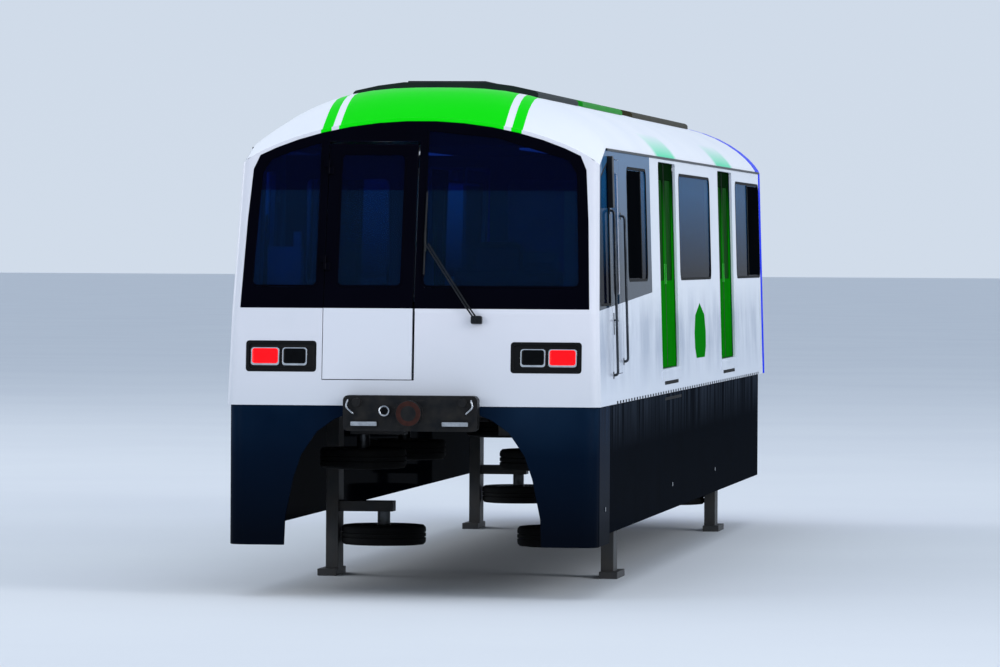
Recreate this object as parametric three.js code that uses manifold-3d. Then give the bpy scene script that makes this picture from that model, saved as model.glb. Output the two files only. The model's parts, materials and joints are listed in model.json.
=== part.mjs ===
// End car of a straddle-beam monorail, in millimetres with +Z up.
// X runs across the car, Y along it with the cab face towards -Y, and Z starts at the feet of the bogies.
import * as THREE from "three";
import { mergeVertices } from "three/addons/utils/BufferGeometryUtils.js";
import Module from "manifold-3d";

const wasm = await Module();
wasm.setup();

// Lengths along Y
const CAR_HALF = 8200;
const BODY_HALF = 7950;
const FACE = -BODY_HALF;
const FRONT_BOGIE = -4200;
const REAR_BOGIE = 5400;

// Heights
const SKIRT_BOTTOM = 500;
const CORNER_SKIRT_BOTTOM = 420;
const BEAM_TOP = 1350;
const BODY_BOTTOM = 1550;
const FLOOR_BOTTOM = 1700;
const FLOOR_TOP = 1770;
const WAIST = 2300;
const SILL = 2550;
const WINDOW_TOP = 3520;
const GUTTER = 3640;
const CROWN = 4155;
const EQUIPMENT_TOP = 4210;

// Widths and thicknesses
const BODY_HALF_WIDTH = 1519;
const TUMBLEHOME = 64 / (GUTTER - BODY_BOTTOM);
const WALL = 60;
const SEAT_GAP = 0.3;
const RUNNING_GAP = 6;
// How far joined shapes reach into each other
const LAP = 10;

// The cab face stands nearly upright up to the waist and leans back above it.
const LOWER_LEAN = 0.08;
const UPPER_LEAN = 0.25;
const CORNER_RADIUS = 80;

const X = new THREE.Vector3(1, 0, 0);
const Y = new THREE.Vector3(0, 1, 0);
const Z = new THREE.Vector3(0, 0, 1);

function halfWidth(z) {
  return BODY_HALF_WIDTH - TUMBLEHOME * (z - BODY_BOTTOM);
}

function faceY(z) {
  const lower = FACE + LOWER_LEAN * (Math.min(z, WAIST) - BODY_BOTTOM);
  return lower + UPPER_LEAN * Math.max(0, z - WAIST);
}

// Closed geometry to solid and back
function solid(geometry) {
  const bare = geometry.clone();
  bare.deleteAttribute("normal");
  bare.deleteAttribute("uv");
  const merged = mergeVertices(bare, 1e-3);
  const vertProperties = Float32Array.from(merged.attributes.position.array);
  const triVerts = Uint32Array.from(merged.index.array);
  return new wasm.Manifold(new wasm.Mesh({ numProp: 3, vertProperties, triVerts }));
}

function geometryOf(shape) {
  const mesh = shape.getMesh();
  const geometry = new THREE.BufferGeometry();
  geometry.setAttribute("position", new THREE.BufferAttribute(Float32Array.from(mesh.vertProperties), 3));
  geometry.setIndex(new THREE.BufferAttribute(Uint32Array.from(mesh.triVerts), 1));
  const flat = geometry.toNonIndexed();
  flat.computeVertexNormals();
  return flat;
}

function joined(shapes) {
  return shapes.reduce((all, shape) => all.add(shape));
}

// Outlines: corners are [u, v, radius], and a corner without a radius stays sharp.
function rounded(corners, steps = 3) {
  const points = corners.map(([u, v]) => new THREE.Vector2(u, v));
  return points.flatMap((here, i) => {
    const radius = corners[i][2] || 0;
    if (!radius) return [here];
    const before = points.at(i - 1).clone().sub(here).normalize();
    const after = points[(i + 1) % points.length].clone().sub(here).normalize();
    const half = Math.acos(before.dot(after)) / 2;
    const middle = before.clone().add(after).normalize();
    const centre = here.clone().addScaledVector(middle, radius / Math.sin(half));
    const start = here.clone().addScaledVector(before, radius / Math.tan(half)).sub(centre);
    const end = here.clone().addScaledVector(after, radius / Math.tan(half)).sub(centre);
    const turn = Math.atan2(start.cross(end), start.dot(end));
    return Array.from({ length: steps + 1 }, (_, k) =>
      start.clone().rotateAround(new THREE.Vector2(), (turn * k) / steps).add(centre),
    );
  });
}

function rectangle(u0, u1, v0, v1, radius = 0) {
  return rounded([
    [u0, v0, radius],
    [u1, v0, radius],
    [u1, v1, radius],
    [u0, v1, radius],
  ]);
}

// Prisms: an outline in the plane across the axis, with holes, between two places on the axis
function extruded(outline, holes, depth) {
  const shape = new THREE.Shape(outline);
  shape.holes = holes.map((hole) => new THREE.Path(hole));
  return new THREE.ExtrudeGeometry(shape, { depth, bevelEnabled: false });
}

function alongX(outlineYZ, from, to, holes = []) {
  const turned = new THREE.Matrix4().makeBasis(Y, Z, X).setPosition(from, 0, 0);
  return solid(extruded(outlineYZ, holes, to - from).applyMatrix4(turned));
}

function alongY(outlineXZ, from, to, holes = []) {
  const turned = new THREE.Matrix4().makeBasis(X, Z, Y.clone().negate()).setPosition(0, to, 0);
  return solid(extruded(outlineXZ, holes, to - from).applyMatrix4(turned));
}

function block(x0, x1, y0, y1, z0, z1) {
  const box = new THREE.BoxGeometry(x1 - x0, y1 - y0, z1 - z0);
  return solid(box.translate((x0 + x1) / 2, (y0 + y1) / 2, (z0 + z1) / 2));
}

function crosswise(radius, [x0, x1], y, z, sides = 20) {
  const disc = new THREE.CylinderGeometry(radius, radius, x1 - x0, sides).rotateZ(Math.PI / 2);
  return solid(disc.translate((x0 + x1) / 2, y, z));
}

function lengthwise(radius, x, [y0, y1], z, sides = 24) {
  const disc = new THREE.CylinderGeometry(radius, radius, y1 - y0, sides);
  return solid(disc.translate(x, (y0 + y1) / 2, z));
}

function upright(radius, x, y, z0, z1, sides = 24) {
  const disc = new THREE.CylinderGeometry(radius, radius, z1 - z0, sides).rotateX(Math.PI / 2);
  return solid(disc.translate(x, y, (z0 + z1) / 2));
}

// A curved plate between an outer and an inner grid of points, each grid a list of rows
function plate(outer, inner) {
  const rows = outer.length;
  const columns = outer[0].length;
  const corners = [...outer.flat(), ...inner.flat()];
  const at = (side, row, column) => side * rows * columns + row * columns + column;
  const triangles = [];
  const quad = (a, b, c, d) => triangles.push(a, b, c, a, c, d);
  for (let r = 0; r + 1 < rows; r++) {
    for (let c = 0; c + 1 < columns; c++) {
      quad(at(0, r, c), at(0, r, c + 1), at(0, r + 1, c + 1), at(0, r + 1, c));
      quad(at(1, r, c), at(1, r + 1, c), at(1, r + 1, c + 1), at(1, r, c + 1));
    }
    const last = columns - 1;
    quad(at(0, r, 0), at(0, r + 1, 0), at(1, r + 1, 0), at(1, r, 0));
    quad(at(0, r, last), at(1, r, last), at(1, r + 1, last), at(0, r + 1, last));
  }
  for (let c = 0; c + 1 < columns; c++) {
    const last = rows - 1;
    quad(at(0, 0, c), at(1, 0, c), at(1, 0, c + 1), at(0, 0, c + 1));
    quad(at(0, last, c), at(0, last, c + 1), at(1, last, c + 1), at(1, last, c));
  }
  const geometry = new THREE.BufferGeometry();
  geometry.setAttribute("position", new THREE.Float32BufferAttribute(corners.flat(), 3));
  geometry.setIndex(triangles);
  const made = solid(geometry);
  return made.volume() > 0 ? made : solid(geometry.setIndex(triangles.toReversed()));
}

// The nose: a plate bent round the front corners, from the low to the high level, set back by depth
function nose(levels, widthAt, frontAt, depth, thickness, radius) {
  const CORNER_STEPS = 6;
  const line = (z, inset) => {
    const half = widthAt(z) - inset;
    const front = frontAt(z) + inset;
    const bend = radius - inset;
    const arc = Array.from({ length: CORNER_STEPS + 1 }, (_, k) => (k / CORNER_STEPS) * (Math.PI / 2));
    const right = arc.map((a) => [
      half - bend + bend * Math.sin(a),
      front + bend - bend * Math.cos(a),
      z,
    ]);
    const left = right.toReversed().map(([x, y, level]) => [-x, y, level]);
    return [...left, ...right];
  };
  return plate(
    levels.map((z) => line(z, depth)),
    levels.map((z) => line(z, depth + thickness)),
  );
}

const root = new THREE.Group();

function paint(color, roughness, metalness = 0) {
  return { color, roughness, metalness };
}

const WHITE = paint(0xe9edf2, 0.25);
const NAVY = paint(0x0c2740, 0.3);
const GREEN = paint(0x0c8a1c, 0.3);
const BLUE = paint(0x0a3fd0, 0.3);
const BLACK = paint(0x0b0e12, 0.25);
const GLASS = paint(0x101820, 0.08);
const STEEL = paint(0x565b60, 0.45, 0.7);
const DARK_STEEL = paint(0x2c3034, 0.6, 0.5);
const TYRE = paint(0x141414, 0.9);
const GREY = paint(0x777d82, 0.6);
const LAMP = paint(0xb01010, 0.2);
const CLOTH = paint(0x27425f, 0.95);

function part(name, shape, look) {
  const mesh = new THREE.Mesh(geometryOf(shape), new THREE.MeshStandardMaterial(look));
  mesh.name = name;
  root.add(mesh);
}

// Cab face: the white mask, the black surround set into it, the panes and the emergency door
const ARCH_TOP = 3885;
const ARCH_FOOT = 3500;
const ARCH_HALF = halfWidth(ARCH_FOOT);
const NOSE_TOP = 3950;
const NOSE_LEVELS = [BODY_BOTTOM, WAIST, NOSE_TOP];
const MASK = nose(NOSE_LEVELS, halfWidth, faceY, 0, WALL, CORNER_RADIUS);

// Height of a domed curve at x, from foot at the half width to top in the middle
function dome(x, half, foot, top, fullness, softness) {
  const share = Math.min(1, Math.abs(x) / half);
  return foot + (top - foot) * (1 - share ** fullness) ** softness;
}

const ARCH_FULLNESS = 2;
const ARCH_SOFTNESS = 0.8;
const archAt = (x) => dome(x, ARCH_HALF, ARCH_FOOT, ARCH_TOP, ARCH_FULLNESS, ARCH_SOFTNESS);
const DOME_STEPS = 24;
const ACROSS = Array.from({ length: DOME_STEPS + 1 }, (_, k) => Math.sin((k / DOME_STEPS - 0.5) * Math.PI));

const maskOutline = [
  new THREE.Vector2(-BODY_HALF_WIDTH - WALL, BODY_BOTTOM),
  new THREE.Vector2(BODY_HALF_WIDTH + WALL, BODY_BOTTOM),
  new THREE.Vector2(BODY_HALF_WIDTH + WALL, ARCH_FOOT),
  ...ACROSS.toReversed().map((s) => new THREE.Vector2(s * ARCH_HALF, archAt(s * ARCH_HALF))),
  new THREE.Vector2(-BODY_HALF_WIDTH - WALL, ARCH_FOOT),
];

// Black surround: half widths by height, then an arch over them, all smaller by inset
const SURROUND_FOOT = 2335;
const SURROUND_SIDES = [
  { half: 1420, z: SURROUND_FOOT },
  { half: 1390, z: 3050 },
  { half: 1360, z: 3460 },
];
const SURROUND_ARCH = [1310, 1180, 1000, 800, 580, 350, 120];
const SURROUND_BORDER = 30;
function surroundOutline(inset) {
  const right = [
    ...SURROUND_SIDES.map(({ half, z }) => [half - inset, Math.max(z, SURROUND_FOOT + inset)]),
    ...SURROUND_ARCH.map((x) => [x - inset, archAt(x) - SURROUND_BORDER - inset]),
  ];
  const left = right.toReversed().map(([x, z]) => [-x, z]);
  return [...right, ...left].map(([x, z]) => new THREE.Vector2(x, z));
}

// Emergency door between two panes
const DOOR_LEFT = -740;
const DOOR_RIGHT = -14;
const DOOR_FOOT = 1762;
const DOOR_TOP = 3664;
const DOOR_HINGE_GAP = 5;
const DOOR_FREE_GAP = 12;
const LOWER_FREE_GAP = 20;
// The door leaves its opening square to the leaning face, so its top rises on the way out.
const TOP_FREE_GAP = 22;
const doorway = rounded([
  [DOOR_LEFT - DOOR_HINGE_GAP, DOOR_FOOT - RUNNING_GAP],
  [DOOR_RIGHT + LOWER_FREE_GAP, DOOR_FOOT - RUNNING_GAP],
  [DOOR_RIGHT + LOWER_FREE_GAP, WAIST],
  [DOOR_RIGHT + DOOR_FREE_GAP, WAIST + 100],
  [DOOR_RIGHT + DOOR_FREE_GAP, DOOR_TOP + TOP_FREE_GAP],
  [DOOR_LEFT - DOOR_HINGE_GAP, DOOR_TOP + TOP_FREE_GAP],
]);
const PANE_FOOT = 2504;
const PANE_ARCH_DROP = 95;
const PANE_CORNER = 50;
const PANE_EDGE_LEAN = 45;
const PANE_EDGE_TOP = 3430;
const PANE_SHOULDER = 120;
// Panes beside the door: inner and outer edge at the foot, and where the arch over them bends
const PANES = [
  { name: "windscreen_left", inner: -795, outer: -1345, middle: -1060 },
  { name: "windscreen_right", inner: 52, outer: 1345, middle: 640 },
];
function paneOutline({ inner, outer, middle }, inset) {
  const side = Math.sign(outer);
  const edgeOut = outer - side * inset;
  const edgeIn = inner + side * inset;
  const lean = side * PANE_EDGE_LEAN;
  const shoulder = outer - side * PANE_SHOULDER;
  const corners = [
    [edgeIn, PANE_FOOT + inset, PANE_CORNER],
    [edgeOut, PANE_FOOT + inset, PANE_CORNER],
    [edgeOut - lean, PANE_EDGE_TOP - inset],
    [shoulder, archAt(shoulder) - PANE_ARCH_DROP - inset],
    [middle, archAt(middle) - PANE_ARCH_DROP - inset],
    [edgeIn, archAt(edgeIn) - PANE_ARCH_DROP - inset],
  ];
  return rounded(side > 0 ? corners : corners.toReversed());
}

const THROUGH_FRONT = FACE - 400;
const THROUGH_BACK = FACE + 1000;
const through = (outline) => alongY(outline, THROUGH_FRONT, THROUGH_BACK);

// Lamp clusters: edges of the bezels, with a recess in which the tail lamp and the headlamp stand
const LAMP_INNER = 790;
const LAMP_OUTER = 1365;
const LAMP_FOOT = 1820;
const LAMP_TOP = 2070;
const LAMP_CORNER = 25;
const LAMP_BORDER = 22;
const RECESS_DEPTH = 22;
const LAMP_FRONT = 12;
const LAMPS = [
  { inner: 1105, outer: 1315 },
  { inner: 878, outer: 1060 },
];
const LENS_FOOT = 1888;
const LENS_TOP = 2010;
function lampOutline(side, inset) {
  const [left, right] = span(0, side, LAMP_INNER + inset, LAMP_OUTER - inset);
  return rectangle(left, right, LAMP_FOOT + inset, LAMP_TOP - inset, LAMP_CORNER);
}

const SIDES = [
  { side: 1, word: "right" },
  { side: -1, word: "left" },
];

// Two places on one side of a middle, in rising order
function span(middle, side, near, far) {
  return side > 0 ? [middle + near, middle + far] : [middle - far, middle - near];
}

let mask = MASK.intersect(through(maskOutline));
mask = mask.subtract(through(surroundOutline(-SEAT_GAP))).subtract(through(doorway));
for (const { side } of SIDES) mask = mask.subtract(through(lampOutline(side, 0)));
part("front_mask", mask, WHITE);

// Hinge of the emergency door, outside the leaning face, with knuckles on the surround and on the door
const HINGE_OFFSET = 14;
const KNUCKLE_RADIUS = 12;
const KNUCKLE_REACH = 40;
const FACE_SLOPE = Math.atan(UPPER_LEAN);
const FACE_HINGE_X = DOOR_LEFT - DOOR_HINGE_GAP / 2;
// Where the door's knuckles start, up the slope from the waist
const FACE_KNUCKLES = [350, 1150];
const KNUCKLE_LENGTH = 60;
const KNUCKLE_SIDES = 12;
const KNUCKLE_LEAF = 20;
const WEB_OUT = HINGE_OFFSET + KNUCKLE_RADIUS / 2;
function knucklePin() {
  const pin = new THREE.CylinderGeometry(KNUCKLE_RADIUS, KNUCKLE_RADIUS, KNUCKLE_LENGTH, KNUCKLE_SIDES);
  return pin.rotateX(Math.PI / 2);
}
function faceKnuckle(start, side) {
  const pin = knucklePin().translate(0, -HINGE_OFFSET, 0);
  const web = new THREE.BoxGeometry(KNUCKLE_REACH, WEB_OUT + KNUCKLE_LEAF, KNUCKLE_LENGTH);
  web.translate((side * KNUCKLE_REACH) / 2, (KNUCKLE_LEAF - WEB_OUT) / 2, 0);
  const upSlope = new THREE.Matrix4().makeRotationX(-FACE_SLOPE);
  upSlope.setPosition(FACE_HINGE_X, faceY(WAIST), WAIST);
  const slide = new THREE.Matrix4().makeTranslation(0, 0, start + KNUCKLE_LENGTH / 2);
  return solid(pin).add(solid(web)).transform(upSlope.multiply(slide).toArray());
}

let surround = MASK.intersect(through(surroundOutline(0))).subtract(through(doorway));
for (const pane of PANES) surround = surround.subtract(through(paneOutline(pane, 0)));
for (const start of FACE_KNUCKLES) {
  surround = surround.add(faceKnuckle(start + KNUCKLE_LENGTH + SEAT_GAP, -1));
}
part("windscreen_surround", surround, BLACK);

const GLASS_DEPTH = 8;
const GLASS_THICKNESS = 14;
const screenBand = nose(NOSE_LEVELS, halfWidth, faceY, GLASS_DEPTH, GLASS_THICKNESS, CORNER_RADIUS);
for (const pane of PANES) part(pane.name, screenBand.intersect(through(paneOutline(pane, SEAT_GAP))), GLASS);

const DOOR_STILE = 93;
const DOOR_PANE_TOP = 3590;
function doorPane(inset) {
  const left = DOOR_LEFT + DOOR_STILE + inset;
  const right = DOOR_RIGHT - DOOR_STILE - inset;
  return rectangle(left, right, PANE_FOOT + inset, DOOR_PANE_TOP - inset, PANE_CORNER);
}
let emergencyDoor = MASK.intersect(through(rectangle(DOOR_LEFT, DOOR_RIGHT, DOOR_FOOT, DOOR_TOP)));
emergencyDoor = emergencyDoor.subtract(through(doorPane(0)));
for (const start of FACE_KNUCKLES) emergencyDoor = emergencyDoor.add(faceKnuckle(start, 1));
part("emergency_door", emergencyDoor, BLACK);
part("emergency_door_glass", screenBand.intersect(through(doorPane(SEAT_GAP))), GLASS);

const faceBand = (front, back) => nose(NOSE_LEVELS, halfWidth, faceY, front, back - front, CORNER_RADIUS);
const recessBand = faceBand(-RECESS_DEPTH, RECESS_DEPTH);
const lampBand = faceBand(LAMP_FRONT, WALL);
for (const { side, word } of SIDES) {
  let cluster = MASK.intersect(through(lampOutline(side, SEAT_GAP)));
  cluster = cluster.subtract(recessBand.intersect(through(lampOutline(side, LAMP_BORDER))));
  for (const { inner, outer } of LAMPS) {
    const lamp = rectangle(...span(0, side, inner, outer), LENS_FOOT, LENS_TOP);
    cluster = cluster.add(lampBand.intersect(through(lamp)));
  }
  part(`lamp_${word}`, cluster, LAMP);
}

// Side walls: one plate a side with its doorways and windows cut, a solebar flange under the floor and
// a rail over each pair of doors
const WALL_FRONT_DEPTH = CORNER_RADIUS + SEAT_GAP;
const GUTTER_FRONT = FACE + 900;
const REAR_WALL_FRONT = BODY_HALF - WALL;
const EAVE_FRONT = faceY(ARCH_FOOT) + WALL_FRONT_DEPTH;
const wallOutline = [
  [faceY(BODY_BOTTOM) + WALL_FRONT_DEPTH, BODY_BOTTOM],
  [REAR_WALL_FRONT - SEAT_GAP, BODY_BOTTOM],
  [REAR_WALL_FRONT - SEAT_GAP, GUTTER],
  [GUTTER_FRONT, GUTTER],
  [EAVE_FRONT, ARCH_FOOT],
  [faceY(WAIST) + WALL_FRONT_DEPTH, WAIST],
].map(([y, z]) => new THREE.Vector2(y, z));

// Height of the wall's top edge, which drops towards the arch in front of the gutter
function eaveAt(y) {
  return THREE.MathUtils.mapLinear(Math.min(y, GUTTER_FRONT), EAVE_FRONT, GUTTER_FRONT, ARCH_FOOT, GUTTER);
}

// A leaning band of the side wall, between two depths under its outer face
function wallBand(side, depth, thickness, low, high) {
  const edge = (z, inset) => new THREE.Vector2(side * (halfWidth(z) - inset), z);
  const corners = [
    edge(low, depth + thickness),
    edge(low, depth),
    edge(high, depth),
    edge(high, depth + thickness),
  ];
  return alongY(side > 0 ? corners : corners.toReversed(), FACE, BODY_HALF);
}

const WALL_ZONE = { inner: 1300, outer: 1600 };
function throughWall(side, outlineYZ) {
  return alongX(outlineYZ, ...span(0, side, WALL_ZONE.inner, WALL_ZONE.outer));
}

// Cab doors, one a side, hinged at the rear and opening inwards
const CAB_DOOR_FRONT = FACE + 1150;
const CAB_DOOR_REAR = FACE + 1850;
const CAB_DOOR_FOOT = 1800;
const CAB_DOOR_TOP = 3560;
const CAB_DOOR_FREE_GAP = 10;
const CAB_PANE_BORDER = 100;
const CAB_PANE_FOOT = 2450;
const cabDoorway = rectangle(
  CAB_DOOR_FRONT - CAB_DOOR_FREE_GAP,
  CAB_DOOR_REAR + DOOR_HINGE_GAP,
  CAB_DOOR_FOOT - RUNNING_GAP,
  CAB_DOOR_TOP + RUNNING_GAP,
);

// Passenger doorways: centres along the car; two leaves slide apart into pockets in the back of the wall
const DOORWAYS = [
  { name: "front", centre: FACE + 5940 },
  { name: "rear", centre: FACE + 11730 },
];
const DOORWAY_HALF = 780;
const DOORWAY_TOP = 3600;
const DOORWAY_RADIUS = 40;
const LEAF_WIDTH = 810;
const POCKET_DEPTH = 28;
const LEAF_DEPTH = POCKET_DEPTH + RUNNING_GAP;
const LEAF_THICKNESS = 35;
const LEAF_STROKE = 750;
const LEAF_PARTING = 3;
const LEAF_GLASS_NEAR = 110;
const LEAF_GLASS_FAR = 640;
const LEAF_GLASS_TOP = 3450;
const RAIL_FOOT = 3612;
const RAIL_WIDTH = 50;

// The cab's side window, whose front edge follows the leaning face
const CAB_WINDOW = { border: 120, rear: 1040, foot: 2360, frontTop: 3420, top: 3560, radius: 40 };
const CAB_WINDOW_SKEW = 1.5;
function cabWindow(inset) {
  const { border, rear, foot, frontTop, top, radius } = CAB_WINDOW;
  return rounded([
    [faceY(foot) + border + inset, foot + inset, radius],
    [FACE + rear - inset, foot + inset, radius],
    [FACE + rear - inset, top - inset, radius],
    [faceY(frontTop) + border + inset * CAB_WINDOW_SKEW, frontTop - inset, radius],
  ]);
}

// Side windows by name and outline
const WINDOWS = [
  { name: "cab_window", outline: cabWindow },
  { name: "forward_window", outline: (inset) => windowOutline(2450, 4080, inset) },
  { name: "saloon_window", outline: (inset) => windowOutline(6990, 10060, inset) },
  { name: "rear_window", outline: (inset) => windowOutline(12860, 15640, inset) },
];
const WINDOW_RADIUS = 90;
function windowOutline(front, rear, inset) {
  const ends = [FACE + front + inset, FACE + rear - inset];
  return rectangle(...ends, SILL + inset, WINDOW_TOP - inset, WINDOW_RADIUS);
}

const FLANGE_DEPTH = 110;
const FLANGE_HEIGHT = 60;
const FLANGE_FRONT = FACE + 200;

// Hinge of a cab door, inside the wall and leaning with it
const WALL_SLOPE = Math.atan(TUMBLEHOME);
const CAB_HINGE_Y = CAB_DOOR_REAR + DOOR_HINGE_GAP / 2;
const CAB_HINGE_BASE = 1900;
const CAB_KNUCKLES = [100, 1300];
function cabKnuckle(side, start, toRear) {
  const webDepth = WEB_OUT + KNUCKLE_LEAF;
  const web = new THREE.BoxGeometry(webDepth, KNUCKLE_REACH, KNUCKLE_LENGTH);
  web.translate((side * (webDepth - KNUCKLE_RADIUS)) / 2, (toRear * KNUCKLE_REACH) / 2, 0);
  const upWall = new THREE.Matrix4().makeRotationY(-side * WALL_SLOPE);
  upWall.setPosition(side * (halfWidth(CAB_HINGE_BASE) - WALL - HINGE_OFFSET), CAB_HINGE_Y, CAB_HINGE_BASE);
  const slide = new THREE.Matrix4().makeTranslation(0, 0, start + KNUCKLE_LENGTH / 2);
  return solid(knucklePin()).add(solid(web)).transform(upWall.multiply(slide).toArray());
}

for (const { side, word } of SIDES) {
  let wall = throughWall(side, wallOutline).intersect(wallBand(side, 0, WALL, BODY_BOTTOM, GUTTER));
  for (const { centre } of DOORWAYS) {
    const [front, rear] = [centre - DOORWAY_HALF, centre + DOORWAY_HALF];
    wall = wall.subtract(throughWall(side, rectangle(front, rear, FLOOR_TOP, DOORWAY_TOP, DOORWAY_RADIUS)));
    const reach = LEAF_PARTING + LEAF_WIDTH + LEAF_STROKE;
    const pocketReach = reach + RUNNING_GAP;
    const pocket = rectangle(centre - pocketReach, centre + pocketReach, FLOOR_TOP, RAIL_FOOT);
    const pocketBand = wallBand(side, POCKET_DEPTH, WALL, BODY_BOTTOM, GUTTER);
    wall = wall.subtract(throughWall(side, pocket).intersect(pocketBand));
    const railOut = halfWidth(RAIL_FOOT) - WALL / 2;
    const railX = span(0, side, railOut - WALL / 2 - RAIL_WIDTH, railOut);
    wall = wall.add(block(...railX, centre - reach, centre + reach, RAIL_FOOT, GUTTER));
  }
  for (const { outline } of WINDOWS) wall = wall.subtract(throughWall(side, outline(0)));
  wall = wall.subtract(throughWall(side, cabDoorway));
  const flangeOut = BODY_HALF_WIDTH - WALL / 2;
  const flangeX = span(0, side, flangeOut - WALL / 2 - FLANGE_DEPTH, flangeOut);
  const flangeTop = FLOOR_BOTTOM - SEAT_GAP;
  const flangeEnd = REAR_WALL_FRONT - SEAT_GAP;
  wall = wall.add(block(...flangeX, FLANGE_FRONT, flangeEnd, flangeTop - FLANGE_HEIGHT, flangeTop));
  for (const start of CAB_KNUCKLES) {
    wall = wall.add(cabKnuckle(side, start + KNUCKLE_LENGTH + SEAT_GAP, 1));
  }
  part(`side_wall_${word}`, wall, WHITE);

  const pane = wallBand(side, GLASS_DEPTH, GLASS_THICKNESS, BODY_BOTTOM, GUTTER);
  for (const { name, outline } of WINDOWS) {
    part(`${name}_${word}`, throughWall(side, outline(SEAT_GAP)).intersect(pane), GLASS);
  }

  const cabDoor = rectangle(CAB_DOOR_FRONT, CAB_DOOR_REAR, CAB_DOOR_FOOT, CAB_DOOR_TOP);
  const cabDoorPane = rectangle(
    CAB_DOOR_FRONT + CAB_PANE_BORDER,
    CAB_DOOR_REAR - CAB_PANE_BORDER,
    CAB_PANE_FOOT,
    LEAF_GLASS_TOP,
    PANE_CORNER,
  );
  let leaf = throughWall(side, cabDoor).intersect(wallBand(side, 0, WALL, BODY_BOTTOM, GUTTER));
  leaf = leaf.subtract(throughWall(side, cabDoorPane));
  for (const start of CAB_KNUCKLES) leaf = leaf.add(cabKnuckle(side, start, -1));
  part(`cab_door_${word}`, leaf, WHITE);

  const leafBand = wallBand(side, LEAF_DEPTH, LEAF_THICKNESS, BODY_BOTTOM, GUTTER);
  for (const { name, centre } of DOORWAYS) {
    for (const { way, end } of [{ way: -1, end: "fore" }, { way: 1, end: "aft" }]) {
      const edges = span(centre, way, LEAF_PARTING, LEAF_PARTING + LEAF_WIDTH);
      const glass = span(centre, way, LEAF_GLASS_NEAR, LEAF_GLASS_FAR);
      const outline = rectangle(...edges, FLOOR_TOP + RUNNING_GAP, RAIL_FOOT - SEAT_GAP);
      const light = rectangle(...glass, SILL, LEAF_GLASS_TOP, PANE_CORNER);
      const door = throughWall(side, outline).intersect(leafBand).subtract(throughWall(side, light));
      part(`door_${name}_${word}_${end}`, door, GREEN);
    }
  }
}

// Roof: a domed shell whose front slopes down to the arch over the cab face
const CREST_FULLNESS = 2.8;
const CREST_SOFTNESS = 0.78;
const SLOPE_START = 500;
const SLOPE_LENGTH = 1000;
// Roof sections by the share of the front slope climbed; the first follows the back of the mask
const ROOF_SECTIONS = [0, 0.2, 0.4, 0.6, 0.8, 1];
const BEND_SHARE = 0.9;
function roofSection(share, y, inset) {
  const fullness = THREE.MathUtils.lerp(ARCH_FULLNESS, CREST_FULLNESS, share);
  const softness = THREE.MathUtils.lerp(ARCH_SOFTNESS, CREST_SOFTNESS, share);
  const climb = Math.sin((share * Math.PI) / 2);
  const foot = (share ? eaveAt(y) : ARCH_FOOT) + SEAT_GAP;
  const top = THREE.MathUtils.lerp(ARCH_TOP, CROWN, climb) - inset;
  const half = halfWidth(foot);
  return ACROSS.map((s) => {
    const z = dome(s * half, half, foot, top, fullness, softness);
    const maskDepth = Math.abs(s) > BEND_SHARE ? CORNER_RADIUS : WALL;
    return [s * (half - inset), share ? y : faceY(z) + maskDepth + SEAT_GAP, z];
  });
}
const roofRows = (inset) => [
  ...ROOF_SECTIONS.map((share) => roofSection(share, FACE + SLOPE_START + share * SLOPE_LENGTH, inset)),
  roofSection(1, REAR_WALL_FRONT - SEAT_GAP, inset),
];
part("roof", plate(roofRows(0), roofRows(WALL)), WHITE);

// Rear end wall with its gangway frame, the sliding door inside it and the fairing outside it
const crestAt = (x, inset) =>
  dome(x, halfWidth(GUTTER) - inset, GUTTER, CROWN - inset, CREST_FULLNESS, CREST_SOFTNESS);
function sectionOutline(inset) {
  const half = halfWidth(GUTTER) - inset;
  return [
    new THREE.Vector2(-halfWidth(BODY_BOTTOM) + inset, BODY_BOTTOM + inset),
    new THREE.Vector2(halfWidth(BODY_BOTTOM) - inset, BODY_BOTTOM + inset),
    ...ACROSS.toReversed().map((s) => new THREE.Vector2(s * half, crestAt(s * half, inset))),
  ];
}
const GANGWAY_HALF = 400;
const GANGWAY_TOP = 3560;
const GANGWAY_RADIUS = 20;
const GANGWAY_FRAME = 80;
const GANGWAY_FRAME_RADIUS = 100;
const gangway = rectangle(-GANGWAY_HALF, GANGWAY_HALF, FLOOR_TOP, GANGWAY_TOP, GANGWAY_RADIUS);
const gangwayFrame = rectangle(
  -GANGWAY_HALF - GANGWAY_FRAME,
  GANGWAY_HALF + GANGWAY_FRAME,
  FLOOR_TOP - GANGWAY_FRAME,
  GANGWAY_TOP + GANGWAY_FRAME,
  GANGWAY_FRAME_RADIUS,
);
const GANGWAY_LEAF_HALF = 430;
const GANGWAY_LEAF_STROKE = 800;
const GANGWAY_LEAF_THICKNESS = 40;
const rearLeafBack = REAR_WALL_FRONT - RUNNING_GAP;
const wallMiddle = BODY_HALF - WALL / 2;
let rearWall = alongY(sectionOutline(0), REAR_WALL_FRONT, BODY_HALF);
rearWall = rearWall.add(alongY(gangwayFrame, wallMiddle, CAR_HALF));
rearWall = rearWall.subtract(alongY(gangway, REAR_WALL_FRONT - WALL, CAR_HALF + WALL));
const railX = [-GANGWAY_LEAF_HALF - GANGWAY_LEAF_STROKE, GANGWAY_LEAF_HALF];
rearWall = rearWall.add(block(...railX, REAR_WALL_FRONT - RAIL_WIDTH, wallMiddle, RAIL_FOOT, GUTTER));
part("rear_end_wall", rearWall, WHITE);
const rearLeaf = rectangle(
  -GANGWAY_LEAF_HALF,
  GANGWAY_LEAF_HALF,
  FLOOR_TOP + RUNNING_GAP,
  RAIL_FOOT - SEAT_GAP,
);
const REAR_PANE = { half: 250, foot: 2500, top: 3400 };
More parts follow.
